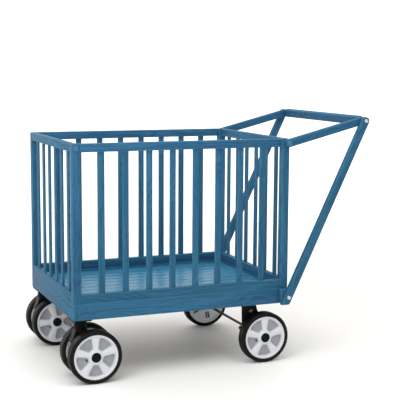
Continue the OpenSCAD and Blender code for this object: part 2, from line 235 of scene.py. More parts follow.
@dataclass(frozen=True)
class PaintedWood:
    """Satin paint over open-grained softwood. It reads each board's own attributes.

    Attributes:
        name: The material's name.
        paint: The paint's main colour.
        sunk: Its colour where it lies in the grain.
        raised: Its colour on raised fibres.
        edge_wear_and_highlight: Its lighter colour along the edges: partly rubbed paint, partly a painted
            highlight on the rounded edges.
        line_gap: Usual distance between two grain lines.
        bare: The wood's colour where the boards' undersides are left unpainted, if they are.
        gloss: How much the paint mirrors.
        rough: Its least and greatest roughness.
        relief: How deep the grain lies in the paint.
    """

    name: str
    paint: Colour
    sunk: Colour
    raised: Colour
    # partly rubbed paint, partly painted highlight along the edges
    edge_wear_and_highlight: Colour
    line_gap: float = 11.0 * MM
    bare: Colour | None = None
    gloss: float = 0.08
    rough: tuple[float, float] = (0.46, 0.62)
    relief: float = 0.35 * MM

    def material(self) -> bpy.types.Material:
        """Builds the material."""
        graph = Graph(self.name)
        board = graph.attribute("board", "Fac")
        shift = graph.node("ShaderNodeCombineXYZ", {
            0: graph.math("MULTIPLY", board, 7.3),
            1: graph.math("MULTIPLY", board, 2.9),
            2: graph.math("MULTIPLY", board, 5.1)}).outputs[0]
        place = graph.vector("ADD", graph.attribute("place"), shift)
        figure = graph.noise(graph.vector("MULTIPLY", place, (2.4, 26.0, 26.0)), 1.0, 4.0, 0.55, 0.6)
        lines = self._lines(graph, place)
        pores = self._pores(graph, place)
        fibres = graph.noise(graph.vector("MULTIPLY", place, (18.0, 900.0, 900.0)), 1.0, 2.0, 0.6)
        colour = graph.mix(graph.spread(figure, 0.34, 0.68), self.paint, self.raised)
        colour = graph.mix(graph.math("MULTIPLY", lines, 0.48), colour, self.sunk)
        colour = graph.mix(graph.math("MULTIPLY", pores, 0.55), colour, self.sunk)
        # lighter edges: partly rubbed paint, partly painted highlight along the rounded edges
        colour = graph.mix(self._edge(graph, fibres), colour, self.edge_wear_and_highlight)
        tone = graph.node("ShaderNodeHueSaturation", {
            "Value": graph.spread(board, 0.0, 1.0, 0.94, 1.06),
            "Hue": graph.spread(board, 0.0, 1.0, 0.497, 0.503), "Color": colour})
        colour = tone.outputs[0]
        if self.bare:
            up = graph.parts(graph.attribute("place"))[2]
            below = graph.spread(up, -5.9 * MM, -5.7 * MM, 1.0, 0.0)
            timber = graph.mix(lines, self.bare, tuple(0.6 * part for part in self.bare))
            colour = graph.mix(below, colour, timber)
        height = graph.math("ADD", graph.math("MULTIPLY", lines, -0.55),
                            graph.math("MULTIPLY", figure, 0.5))
        height = graph.math("ADD", height, graph.math("MULTIPLY", pores, -0.8))
        height = graph.math("ADD", height, graph.math("MULTIPLY", fibres, 0.25))
        rough = graph.spread(graph.math("ADD", fibres, figure), 0.6, 1.4, *self.rough)
        return graph.finish(colour, rough, graph.bump(height, self.relief), Specular_IOR_Level=self.gloss)

    def _lines(self, graph: Graph, place: bpy.types.NodeSocket) -> bpy.types.NodeSocket:
        """Returns the wavering lines of the year rings."""
        bent = graph.noise(graph.vector("MULTIPLY", place, (3.2, 9.0, 9.0)), 1.0, 2.0, 0.45)
        _, across, up = graph.parts(place)
        phase = graph.math("ADD", graph.math("MULTIPLY", across, 1.0 / self.line_gap),
                           graph.math("MULTIPLY", bent, 15.0))
        phase = graph.math("ADD", phase, graph.math("MULTIPLY", up, 0.4 / self.line_gap))
        rings = graph.math("PINGPONG", phase, 0.5)
        rings = graph.spread(rings, 0.20, 0.46)
        streaks = graph.noise(graph.vector("MULTIPLY", place, (5.0, 170.0, 170.0)), 1.0, 3.0, 0.6)
        broken = graph.math("MULTIPLY", rings, graph.spread(streaks, 0.36, 0.58))
        return graph.math("MAXIMUM", broken, graph.spread(streaks, 0.56, 0.72, 0.0, 0.85))

    @staticmethod
    def _pores(graph: Graph, place: bpy.types.NodeSocket) -> bpy.types.NodeSocket:
        """Returns short fine dashes along the grain."""
        fine = graph.noise(graph.vector("MULTIPLY", place, (45.0, 1300.0, 1300.0)), 1.0, 1.0)
        return graph.spread(fine, 0.62, 0.74)

    @staticmethod
    def _edge(graph: Graph, fibres: bpy.types.NodeSocket) -> bpy.types.NodeSocket:
        """Returns 1 along a board's edges, broken up by the fibres, and 0 away from them."""
        inside = graph.vector("SUBTRACT", graph.attribute("half"),
                              graph.vector("ABSOLUTE", graph.attribute("place"), (0.0, 0.0, 0.0)))
        parts = graph.parts(inside)
        low = graph.math("MINIMUM", parts[0], parts[1])
        high = graph.math("MAXIMUM", parts[0], parts[1])
        middle = graph.math("MAXIMUM", low, graph.math("MINIMUM", high, parts[2]))
        return graph.math("MULTIPLY", graph.spread(middle, 0.2 * MM, 2.4 * MM, 1.0, 0.0), fibres)


@dataclass(frozen=True)
class MouldedPlastic:
    """Plastic with a fine moulded texture, a little dust in patches, and painted shade in its recesses.

    Attributes:
        name: The material's name.
        colour: Its colour.
        dust: The colour of the dust.
        recess: Painted shade: its darker colour where the mesh's recess shade attribute is 1, in the pockets.
        rough: Its usual roughness.
        texture: Depth of the moulded texture.
        shine: How much it mirrors.
        slot: Painted shade: its near-black colour where the recess shade attribute is 2 and more, deep in the
            back slots.
    """

    name: str
    colour: Colour
    dust: Colour
    # painted shade: the darker colour laid in the pockets
    recess: Colour
    rough: float
    texture: float = 0.05 * MM
    shine: float = 0.5
    # painted shade: near black inside the rim's back slots
    slot: Colour = (0.012, 0.012, 0.013)

    def material(self) -> bpy.types.Material:
        """Builds the material."""
        graph = Graph(self.name)
        place = graph.object_place()
        fine = graph.noise(place, 1400.0, 2.0, 0.6)
        cloud = graph.noise(place, 38.0, 4.0, 0.6, 0.4)
        # painted shade: the recess shade attribute darkens the pockets and makes the back slots near black
        depth = graph.attribute("recess", "Fac")
        colour = graph.mix(depth, self.colour, self.recess)
        colour = graph.mix(graph.spread(depth, 1.05, 2.2), colour, self.slot)
        colour = graph.mix(graph.spread(cloud, 0.45, 0.8, 0.0, 0.22), colour, self.dust)
        speck = graph.spread(graph.noise(place, 420.0, 1.0), 0.68, 0.78, 0.0, 0.12)
        colour = graph.mix(speck, colour, self.dust)
        rough = graph.spread(graph.math("ADD", fine, cloud), 0.6, 1.4, self.rough - 0.06, self.rough + 0.1)
        return graph.finish(colour, rough, graph.bump(fine, self.texture), Specular_IOR_Level=self.shine)


@dataclass(frozen=True)
class TyreRubber:
    """Matt black rubber with patches of dust.

    Attributes:
        name: The material's name.
        colour: The clean rubber.
        dust: Dust in the tread and on the walls.
    """

    name: str
    colour: Colour
    dust: Colour

    def material(self) -> bpy.types.Material:
        """Builds the material."""
        graph = Graph(self.name)
        place = graph.object_place()
        grit = graph.noise(place, 900.0, 3.0, 0.65)
        patches = graph.noise(place, 26.0, 5.0, 0.6, 0.5)
        share = graph.math("MULTIPLY", graph.spread(patches, 0.42, 0.75), graph.spread(grit, 0.3, 0.8))
        colour = graph.mix(graph.math("MULTIPLY", share, 0.35), self.colour, self.dust)
        rough = graph.spread(patches, 0.3, 0.8, 0.36, 0.6)
        return graph.finish(colour, rough, graph.bump(grit, 0.08 * MM), Specular_IOR_Level=0.13)


@dataclass(frozen=True)
class BrightSteel:
    """Zinc-plated or blackened steel with fine turning marks.

    Attributes:
        name: The material's name.
        colour: The metal's colour.
        stain: The colour of its duller patches.
        rough: Its usual roughness.
        metal: How metallic it is.
    """

    name: str
    colour: Colour
    stain: Colour
    rough: float
    metal: float = 1.0

    def material(self) -> bpy.types.Material:
        """Builds the material."""
        graph = Graph(self.name)
        place = graph.object_place()
        marks = graph.noise(graph.vector("MULTIPLY", place, (1.0, 40.0, 1.0)), 90.0, 3.0, 0.6)
        patches = graph.noise(place, 60.0, 4.0, 0.55)
        colour = graph.mix(graph.spread(patches, 0.4, 0.75, 0.0, 0.6), self.colour, self.stain)
        rough = graph.spread(marks, 0.3, 0.7, self.rough - 0.05, self.rough + 0.1)
        return graph.finish(colour, rough, graph.bump(marks, 0.02 * MM), Metallic=self.metal)


@dataclass(frozen=True)
class ScrewPaint:
    """Thicker, smoother paint on a metal head.

    Attributes:
        name: The material's name.
        paint: The paint's colour.
        worn: Its colour where it is thin.
    """

    name: str
    paint: Colour
    worn: Colour

    def material(self) -> bpy.types.Material:
        """Builds the material."""
        graph = Graph(self.name)
        place = graph.object_place()
        peel = graph.noise(place, 700.0, 2.0, 0.5)
        patches = graph.noise(place, 120.0, 3.0, 0.6)
        colour = graph.mix(graph.spread(patches, 0.45, 0.75, 0.0, 0.5), self.paint, self.worn)
        rough = graph.spread(peel, 0.3, 0.7, 0.36, 0.46)
        return graph.finish(colour, rough, graph.bump(peel, 0.06 * MM), Coat_Weight=0.1)


class Finishes:
    """All materials of the trolley, made once."""

    def __init__(self) -> None:
        """Builds every material."""
        # the lighter edge colours are partly rubbed paint, partly painted edge highlight
        self.wood = PaintedWood(
            "painted_wood", paint=(0.023, 0.103, 0.198), sunk=(0.009, 0.041, 0.092),
            raised=(0.035, 0.139, 0.248), edge_wear_and_highlight=(0.068, 0.243, 0.370)).material()
        self.floor = PaintedWood(
            "painted_floor", paint=(0.035, 0.188, 0.330), sunk=(0.015, 0.098, 0.200),
            raised=(0.055, 0.235, 0.385), edge_wear_and_highlight=(0.115, 0.340, 0.485),
            bare=(0.20, 0.15, 0.10), gloss=0.11, rough=(0.24, 0.34), relief=0.05 * MM).material()
        self.screw = ScrewPaint(
            "painted_head", paint=(0.019, 0.120, 0.240), worn=(0.038, 0.175, 0.310)).material()
        self.tyre = TyreRubber(
            "tyre_rubber", colour=(0.0035, 0.0035, 0.004), dust=(0.024, 0.023, 0.021)).material()
        # the rim's recess colour is painted shade in its pockets, and its slot colour painted shade in its
        # back slots
        self.rim = MouldedPlastic(
            "rim_plastic", colour=(0.620, 0.640, 0.690), dust=(0.50, 0.50, 0.49),
            recess=(0.310, 0.320, 0.345), rough=0.36).material()
        # the black plastic's recess colour is painted shade, barely darker than the plastic
        self.black = MouldedPlastic(
            "black_plastic", colour=(0.0035, 0.0035, 0.004), dust=(0.014, 0.0135, 0.013),
            recess=(0.003, 0.003, 0.003), rough=0.40, texture=0.08 * MM, shine=0.10).material()
        self.steel = BrightSteel(
            "bright_zinc", colour=(0.62, 0.63, 0.65), stain=(0.40, 0.41, 0.43), rough=0.26).material()
        self.dull_steel = BrightSteel(
            "dull_steel", colour=(0.26, 0.25, 0.24), stain=(0.14, 0.13, 0.12), rough=0.42).material()
        self.dark_steel = BrightSteel(
            "blackened_steel", colour=(0.030, 0.030, 0.032), stain=(0.016, 0.016, 0.017),
            rough=0.38, metal=0.8).material()


# ---------------------------------------------------------------- meshes


def add_piece(name: str, mesh: bpy.types.Mesh, material: bpy.types.Material, body: str,
              nodes: Iterable[str] = (), sharp_deg: float = 35.0) -> bpy.types.Object:
    """Puts a finished mesh in the scene as a piece of the trolley.

    Args:
        name: The piece's name.
        mesh: Its mesh, already in the frame.
        material: Its material.
        body: The CAD body that it rides on.
        nodes: The CAD nodes that it stands for.
        sharp_deg: Edges sharper than this stay sharp in the shading.

    Returns:
        The new object.
    """
    mesh.name = name
    mesh.materials.clear()
    mesh.materials.append(material)
    mesh.polygons.foreach_set("use_smooth", [True] * len(mesh.polygons))
    mesh.set_sharp_from_angle(angle=math.radians(sharp_deg))
    piece = bpy.data.objects.new(name, mesh)
    bpy.context.scene.collection.objects.link(piece)
    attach(piece, body)
    if nodes:
        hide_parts(*nodes)
    LOG.info("%s: %d faces on %s", name, len(mesh.polygons), body)
    return piece


def refinish(node: str, material: bpy.types.Material) -> None:
    """Keeps a CAD solid as it is, and gives it a better material."""
    shown = frame["nodes"][node]
    shown.data.materials.clear()
    shown.data.materials.append(material)
    LOG.info("%s: kept from the frame", node)


def to_mesh(shape: bmesh.types.BMesh) -> bpy.types.Mesh:
    """Turns a bmesh into a mesh with its faces pointing outwards, and frees it."""
    bmesh.ops.recalc_face_normals(shape, faces=shape.faces)
    mesh = bpy.data.meshes.new("part")
    shape.to_mesh(mesh)
    shape.free()
    return mesh


def joined(meshes: Sequence[bpy.types.Mesh]) -> bpy.types.Mesh:
    """Returns one mesh that holds all of these."""
    shape = bmesh.new()
    for mesh in meshes:
        shape.from_mesh(mesh)
        bpy.data.meshes.remove(mesh)
    mesh = bpy.data.meshes.new("joined")
    shape.to_mesh(mesh)
    shape.free()
    return mesh


def basis(origin: Vector, along: Vector, across: Vector) -> Matrix:
    """Returns the matrix of a local frame: X along, Y across, and Z square to both."""
    first = along.normalized()
    third = first.cross(across).normalized()
    second = third.cross(first)
    return Matrix.Translation(origin) @ Matrix((first, second, third)).transposed().to_4x4()


def prism(outline: Outline, depth: float, soft: float, place: Matrix, steps: int = 3) -> bpy.types.Mesh:
    """Makes a plate of even depth with rounded edges.

    Args:
        outline: Its outline in the local XY plane.
        depth: Its thickness along local Z, centred on the plane.
        soft: The radius of its edges.
        place: The matrix from the local frame to the trolley's.
        steps: Faces around each rounded edge.

    Returns:
        The closed mesh.
    """
    shape = bmesh.new()
    base = shape.faces.new([shape.verts.new((x, y, -depth / 2)) for x, y in outline])
    raised = bmesh.ops.extrude_face_region(shape, geom=[base])["geom"]
    bmesh.ops.translate(shape, verts=[v for v in raised if isinstance(v, bmesh.types.BMVert)],
                        vec=(0, 0, depth))
    bmesh.ops.recalc_face_normals(shape, faces=shape.faces)
    edges = [e for e in shape.edges if e.calc_face_angle(0.0) > math.radians(30)]
    bmesh.ops.bevel(shape, geom=edges, offset=soft, segments=steps, profile=0.5,
                    affect="EDGES", clamp_overlap=True)
    bmesh.ops.transform(shape, matrix=place, verts=shape.verts)
    return to_mesh(shape)


def eased(share: float) -> float:
    """Returns a share kept between 0 and 1, with a soft start and end."""
    t = min(max(share, 0.0), 1.0)
    return t * t * (3 - 2 * t)


def rectangle(length: float, width: float) -> Outline:
    """Returns a rectangle's outline, centred on the origin."""
    a, b = length / 2, width / 2
    return [(-a, -b), (a, -b), (a, b), (-a, b)]


def rounded_outline(corners: Outline, radius: float, steps: int = 5) -> Outline:
    """Returns an outline whose corners are rounded, less so where its sides are short."""
    points = [Vector(p) for p in corners]
    out: list[tuple[float, float]] = []
    for before, corner, after in zip(points[-1:] + points[:-1], points, points[1:] + points[:1]):
        into, away = (corner - before), (after - corner)
        turn = abs(into.angle_signed(away))
        cut = min(radius * math.tan(turn / 2), into.length * 0.45, away.length * 0.45)
        start, end = corner - into.normalized() * cut, corner + away.normalized() * cut
        for step in range(steps + 1):
            t = step / steps
            point = start * (1 - t) ** 2 + corner * 2 * t * (1 - t) + end * t * t
            out.append((point.x, point.y))
    return out


def lathe(profile: Outline, place: Matrix, around: int = 96,
          lift: Callable[[float, float, float], float] | None = None) -> bpy.types.Mesh:
    """Turns a profile about local Z.

    Args:
        profile: Points [radius, height], in order. A closed loop unless it starts and ends
            at radius 0.
        place: The matrix from the local frame to the trolley's.
        around: Number of steps round the axis.
        lift: Given radius, height and angle, what to add to the height.

    Returns:
        The closed mesh.
    """
    shape = bmesh.new()
    angles = [2 * math.pi * i / around for i in range(around)]
    rings = []
    for radius, height in profile:
        if radius < 1e-7:
            rings.append([shape.verts.new((0, 0, height))] * around)
            continue
        rings.append([shape.verts.new((
            radius * math.cos(a), radius * math.sin(a),
            height + (lift(radius, height, a) if lift else 0.0))) for a in angles])
    pairs = list(zip(rings, rings[1:]))
    if profile[0][0] > 1e-7:
        pairs.append((rings[-1], rings[0]))
    for low, high in pairs:
        for i in range(around):
            corners = [low[i], low[(i + 1) % around], high[(i + 1) % around], high[i]]
            face = list(dict.fromkeys(corners))
            if len(face) > 2:
                shape.faces.new(face)
    bmesh.ops.transform(shape, matrix=place, verts=shape.verts)
    return to_mesh(shape)


def evaluated(mesh: bpy.types.Mesh, add: Callable[[bpy.types.Object], None]) -> bpy.types.Mesh:
    """Runs modifiers on a mesh and returns the result as a plain mesh.

    Args:
        mesh: What the modifiers work on.
        add: Puts the modifiers, with all their inputs, on the object it is given.

    Returns:
        The resulting mesh.
    """
    holder = bpy.data.objects.new("holder", mesh)
    bpy.context.scene.collection.objects.link(holder)
    add(holder)
    graph = bpy.context.evaluated_depsgraph_get()
    made = bpy.data.meshes.new_from_object(holder.evaluated_get(graph), depsgraph=graph)
    holder.modifiers.clear()
    bpy.data.objects.remove(holder)
    bpy.data.meshes.remove(mesh)
    return made


def moulded(shells: Sequence[bpy.types.Mesh], grain: float, keep: float = 0.35) -> bpy.types.Mesh:
    """Melts closed shells into one skin with soft inner corners, as a moulding has.

    Args:
        shells: Closed meshes that overlap.
        grain: The size of the steps in which they are melted together.
        keep: The share of the faces that stays.

    Returns:
        The closed mesh.
    """
    def add(holder: bpy.types.Object) -> None:
        """Puts on the remesh, the smoothing and the thinning."""
        remesh = holder.modifiers.new("melt", "REMESH")
        remesh.mode = "VOXEL"
        remesh.voxel_size = grain
        smooth = holder.modifiers.new("soften", "SMOOTH")
        smooth.factor = 0.5
        smooth.iterations = 4
        thin = holder.modifiers.new("thin", "DECIMATE")
        thin.ratio = keep
    return evaluated(joined(shells), add)


def mark_boards(mesh: bpy.types.Mesh, along: Vector, across: Vector) -> bpy.types.Mesh:
    """Gives each loose board its own place, half size and number, which the paint reads.

    Args:
        mesh: A mesh of one or more boards that lie the same way.
        along: The direction of their grain.
        across: The direction of their width.

    Returns:
        The same mesh.
    """
    count = len(mesh.vertices)
    points = np.zeros(count * 3)
    mesh.vertices.foreach_get("co", points)
    turn = np.array(basis(Vector(), along, across).to_3x3())
    local = points.reshape(-1, 3) @ turn
    ends = np.zeros(len(mesh.edges) * 2, int)
    mesh.edges.foreach_get("vertices", ends)
    ends = ends.reshape(-1, 2)
    label = np.arange(count)
    while True:
        low = np.minimum(label[ends[:, 0]], label[ends[:, 1]])
        new = label.copy()
        np.minimum.at(new, ends[:, 0], low)
        np.minimum.at(new, ends[:, 1], low)
        new = new[new]
        if (new == label).all():
            break
        label = new
    place, half, number = np.zeros((count, 3)), np.zeros((count, 3)), np.zeros(count)
    for board in np.unique(label):
        mine = label == board
        low, high = local[mine].min(0), local[mine].max(0)
        place[mine] = local[mine] - (low + high) / 2
        half[mine] = (high - low) / 2
        seed = float((low + high) @ np.array([12.99, 78.23, 37.72]))
        number[mine] = (math.sin(seed) * 4375.85) % 1.0
    for name, kind, values in (("place", "FLOAT_VECTOR", place), ("half", "FLOAT_VECTOR", half)):
        mesh.attributes.new(name, kind, "POINT").data.foreach_set("vector", values.astype(np.float32).ravel())
    mesh.attributes.new("board", "FLOAT", "POINT").data.foreach_set("value", number.astype(np.float32))
    return mesh


# ---------------------------------------------------------------- geometry node trees


class Tree:
    """A geometry node tree with named inputs, run on an object and turned into a plain mesh."""

    def __init__(self, name: str, inputs: dict[str, str]) -> None:
        """Starts an empty tree.

        Args:
            name: The tree's name.
            inputs: The kind of each named input, such as "Float" or "Vector".
        """
        self.group = bpy.data.node_groups.new(name, "GeometryNodeTree")
        face = self.group.interface
        face.new_socket("Geometry", in_out="INPUT", socket_type="NodeSocketGeometry")
        for label, kind in inputs.items():
            face.new_socket(label, in_out="INPUT", socket_type="NodeSocket" + kind)
        face.new_socket("Geometry", in_out="OUTPUT", socket_type="NodeSocketGeometry")
        self.entry = self.group.nodes.new("NodeGroupInput")
        self.exit = self.group.nodes.new("NodeGroupOutput")

    def node(self, kind: str, inputs: dict | None = None, **settings: object) -> bpy.types.Node:
        """Adds a node, as Graph.node does. An input given as text is one of the tree's own."""
        made = self.group.nodes.new(kind)
        for key, value in settings.items():
            setattr(made, key, value)
        for key, value in (inputs or {}).items():
            socket = made.inputs[key]
            if isinstance(value, str):
                value = self.entry.outputs[value]
            if isinstance(value, bpy.types.NodeSocket):
                self.group.links.new(value, socket)
            else:
                socket.default_value = value
        return made

    def close(self, geometry: bpy.types.NodeSocket) -> None:
        """Ends the tree: instances are made real and given the Material input."""
        real = self.node("GeometryNodeRealizeInstances", {"Geometry": geometry})
        coated = self.node("GeometryNodeSetMaterial", {
            "Geometry": real.outputs[0], "Material": "Material"})
        self.group.links.new(coated.outputs[0], self.exit.inputs[0])

    def run(self, values: dict[str, object], mesh: bpy.types.Mesh | None = None) -> bpy.types.Mesh:
        """Runs the tree with these input values.

        Args:
            values: A value for each named input.
            mesh: What goes in as geometry, if the tree needs it.

        Returns:
            The plain mesh that comes out.
        """
        def add(holder: bpy.types.Object) -> None:
            """Puts the tree on the holder with every input set."""
            modifier = holder.modifiers.new("tree", "NODES")
            modifier.node_group = self.group
            known = {s.name: s.identifier for s in self.group.interface.items_tree
                     if s.in_out == "INPUT"}
            for label, value in values.items():
                modifier[known[label]] = value
        return evaluated(mesh or bpy.data.meshes.new("seed"), add)


def bar_row_tree() -> Tree:
    """Makes the tree for slats and floorboards: a row of equal bars with rounded long edges.

    Returns:
        A tree with inputs Count, First, Step, Turn, Length, Width, Thickness, Round and Material.
        Before Turn a bar stands along Z, with its width along X.
    """
    tree = Tree("bar_row", {
        "Count": "Int", "First": "Vector", "Step": "Vector", "Turn": "Vector", "Length": "Float",
        "Width": "Float", "Thickness": "Float", "Round": "Float", "Material": "Material"})
    section = tree.node("GeometryNodeCurvePrimitiveQuadrilateral", {
        "Width": "Width", "Height": "Thickness"}, mode="RECTANGLE")
    rounded = tree.node("GeometryNodeFilletCurve", {
        "Curve": section.outputs[0], "Count": 4, "Radius": "Round"}, mode="POLY")
    filled = tree.node("GeometryNodeFillCurve", {"Curve": rounded.outputs[0]}, mode="NGONS")
    height = tree.node("ShaderNodeCombineXYZ", {"Z": "Length"})
    body = tree.node("GeometryNodeExtrudeMesh", {
        "Mesh": filled.outputs[0], "Offset": height.outputs[0], "Offset Scale": 1.0,
        "Individual": False}, mode="FACES")
    foot = tree.node("GeometryNodeFlipFaces", {"Mesh": filled.outputs[0]})
    both = tree.node("GeometryNodeJoinGeometry")
    tree.group.links.new(foot.outputs[0], both.inputs[0])
    tree.group.links.new(body.outputs["Mesh"], both.inputs[0])
    bar = tree.node("GeometryNodeMergeByDistance", {"Geometry": both.outputs[0], "Distance": 1e-5})
    line = tree.node("GeometryNodeMeshLine", {
        "Count": "Count", "Start Location": "First", "Offset": "Step"}, mode="OFFSET")
    turn = tree.node("FunctionNodeEulerToRotation", {0: "Turn"})
    placed = tree.node("GeometryNodeInstanceOnPoints", {
        "Points": line.outputs[0], "Instance": bar.outputs[0], "Rotation": turn.outputs[0]})
    tree.close(placed.outputs[0])
    return tree


def tread_tree() -> Tree:
    """Makes the tree for a tyre's tread: a ring of small blocks on each side of the middle.

    Returns:
        A tree with inputs Count, Radius, Height, Length, Width, Middle, Offset and Material.
        The ring turns about Z, and Middle is the height of the tread's middle.
    """
    tree = Tree("tread_ring", {
        "Count": "Int", "Radius": "Float", "Height": "Float", "Length": "Float",
        "Width": "Float", "Middle": "Float", "Offset": "Float", "Material": "Material"})
    size = tree.node("ShaderNodeCombineXYZ", {"X": "Height", "Y": "Length", "Z": "Width"})
    cube = tree.node("GeometryNodeMeshCube", {"Size": size.outputs[0]})
    half = tree.node("ShaderNodeMath", {0: "Height", 1: 0.5}, operation="MULTIPLY")
    out = tree.node("ShaderNodeMath", {0: "Radius", 1: half.outputs[0]}, operation="SUBTRACT")
    index = tree.node("GeometryNodeInputIndex")
    step = tree.node("ShaderNodeMath", {0: 2 * math.pi, 1: "Count"}, operation="DIVIDE")
    rings = tree.node("GeometryNodeJoinGeometry")
    for side in (-1.0, 1.0):
        shift = tree.node("ShaderNodeMath", {0: "Offset", 1: side, 2: "Middle"},
                          operation="MULTIPLY_ADD")
        at = tree.node("ShaderNodeCombineXYZ", {"X": out.outputs[0], "Z": shift.outputs[0]})
        block = tree.node("GeometryNodeTransform", {
            "Geometry": cube.outputs[0], "Translation": at.outputs[0]})
        points = tree.node("GeometryNodePoints", {"Count": "Count"})
        stagger = tree.node("ShaderNodeMath", {0: index.outputs[0], 1: 0.25 * side}, operation="ADD")
        angle = tree.node("ShaderNodeMath", {0: stagger.outputs[0], 1: step.outputs[0]},
                          operation="MULTIPLY")
        euler = tree.node("ShaderNodeCombineXYZ", {"Z": angle.outputs[0]})
        turn = tree.node("FunctionNodeEulerToRotation", {0: euler.outputs[0]})
        ring = tree.node("GeometryNodeInstanceOnPoints", {
            "Points": points.outputs[0], "Instance": block.outputs[0], "Rotation": turn.outputs[0]})
        tree.group.links.new(ring.outputs[0], rings.inputs[0])
    tree.close(rings.outputs[0])
    return tree


def heads_tree() -> Tree:
    """Makes the tree for screws and bolts: a head on each point, turned to its facing.

    Returns:
        A tree with inputs Head, Seed and Material. The head's own Z points away from the wood.
    """
    tree = Tree("heads", {"Head": "Object", "Seed": "Int", "Material": "Material"})
    head = tree.node("GeometryNodeObjectInfo", {"Object": "Head"}, transform_space="ORIGINAL")
    facing = tree.node("GeometryNodeInputNamedAttribute", data_type="FLOAT_VECTOR")
    facing.inputs["Name"].default_value = "facing"
    turned = tree.node("FunctionNodeAlignRotationToVector", {
        "Vector": facing.outputs["Attribute"]}, axis="Z")
    spin = tree.node("FunctionNodeRandomValue", {"Seed": "Seed"}, data_type="FLOAT")
    spin.inputs[3].default_value = 2 * math.pi
    angle = tree.node("ShaderNodeCombineXYZ", {"Z": spin.outputs[1]})
    own = tree.node("FunctionNodeEulerToRotation", {0: angle.outputs[0]})
    both = tree.node("FunctionNodeRotateRotation", {
        "Rotation": turned.outputs[0], "Rotate By": own.outputs[0]}, rotation_space="LOCAL")
    placed = tree.node("GeometryNodeInstanceOnPoints", {
        "Points": "Geometry", "Instance": head.outputs["Geometry"], "Rotation": both.outputs[0]})
    tree.close(placed.outputs[0])
    return tree


class Workshop:
    """The finishes and node trees that every sub-assembly uses."""

    def __init__(self) -> None:
        """Makes the finishes and the trees."""
        self.finishes = Finishes()
        self.bar_row = bar_row_tree()
        self.tread = tread_tree()
        self.heads = heads_tree()

    def add_wood(self, node: str, mesh: bpy.types.Mesh, along: Vector, across: Vector) -> None:
        """Puts painted boards in the scene.

        Args:
            node: The CAD node that they stand for.
            mesh: The boards.
            along: The direction of their grain.
            across: The direction of their width.
        """
        material, slot = (self.finishes.floor, Slot.FLOOR) if node == "floor_boards" else \
            (self.finishes.wood, Slot.WOOD)
        add_piece("wood_" + node, mark_boards(mesh, along, across), material, TROLLEY, [node])

    def set_heads(self, head: bpy.types.Mesh, places: Sequence[tuple[Vector, Vector]],
                  material: bpy.types.Material, seed: int) -> bpy.types.Mesh:
        """Sets one head at each place.

        Args:
            head: The head's mesh, standing on its origin along Z.
            places: Each head's foot and the way that it faces.
            material: The heads' material.
            seed: Fixes how each is turned.

        Returns:
            One mesh of all the heads.
        """
        points = bpy.data.meshes.new("places")
        points.from_pydata([place for place, _ in places], [], [])
        facing = points.attributes.new("facing", "FLOAT_VECTOR", "POINT")
        facing.data.foreach_set("vector", [x for _, way in places for x in way])
        pattern = bpy.data.objects.new("head", head)
        made = self.heads.run({"Head": pattern, "Seed": seed, "Material": material}, points)
        bpy.data.objects.remove(pattern)
        bpy.data.meshes.remove(head)
        return made


# ---------------------------------------------------------------- timber


@dataclass
class Timber:
    """Softened, painted timbers that stand for CAD boards.

    Attributes:
        shop: The shared finishes and trees.
        soft: The radius of a timber's edges.
    """

    shop: Workshop
    soft: float = 1.6 * MM

    def board(self, node: str, along: Vector, across: Vector) -> None:
        """Makes one square-ended board that fills a CAD node's box."""
        self.boards(node, [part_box(node)], along, across)

    def boards(self, node: str, boxes: Sequence[tuple[Vector, Vector]],
               along: Vector, across: Vector) -> None:
        """Makes several boards that stand for one CAD node.

        Args:
            node: The CAD node.
            boxes: Each board's lowest and highest corner.
            along: The direction of the grain.
            across: The direction of the width.
        """
        meshes = []
        for low, high in boxes:
            size = high - low
            place = basis((low + high) / 2, along, across)
            thick = abs(size.dot(along.cross(across)))
            outline = rectangle(abs(size.dot(along)), abs(size.dot(across)))
            meshes.append(prism(outline, thick, self.soft, place))
        self.shop.add_wood(node, joined(meshes), along, across)

    def bar(self, node: str, start: Vector, end: Vector, side: Vector, width: float,
            thick: float, foot: float | None) -> None:
        """Makes a handle bar between two bolts.

        Args:
            node: The CAD node that it stands for.
            start: The lower bolt, in the bar's middle plane.
            end: The upper bolt, in the same plane.
            side: The direction of the bar's thickness.
            width: The bar's width.
            thick: The bar's thickness.
            foot: Height at which the lower end is cut level, or None for a round end.
        """
        along = (end - start).normalized()
        across = side.cross(along)
        reach, r = (end - start).length, width / 2
        steps = [math.pi * (i / 16 - 0.5) for i in range(17)]
        outline: list[tuple[float, float]] = [(reach + r * math.cos(t), r * math.sin(t)) for t in steps]
        if foot is None:
            outline += [(-r * math.cos(t), -r * math.sin(t)) for t in steps]
        else:
            outline += self._level_foot(foot - start.z, along.z, across.z, r)
        mesh = prism(outline, thick, self.soft, basis(start, along, across))
        self.shop.add_wood(node, mesh, along, across)

    @staticmethod
    def _level_foot(height: float, rise: float, fall: float, r: float) -> Outline:
        """Shapes the level end of a slanting bar, its outer corner eased.

        Args:
            height: The cut's height above the lower bolt.
            rise: How much the bar's length rises.
            fall: How much its width rises.
            r: Half the bar's width.

        Returns:
            The end's points, from its outer edge to its inner one.
        """
        ease = 5 * MM
        outer = Vector(((height - r * fall) / rise, r))
        inner = Vector(((height + r * fall) / rise, -r))
        cut = (inner - outer).normalized() * ease
        corner = [outer + Vector((ease, 0)), outer + Vector((0.26 * ease, 0)) + cut * 0.25, outer + cut]
        return [tuple(point) for point in (*corner, inner)]


def face_y(node: str, side: Side) -> float:
    """Returns where a CAD node's box ends towards one side."""
    low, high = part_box(node)
    return high.y if side is Side.FAR else low.y


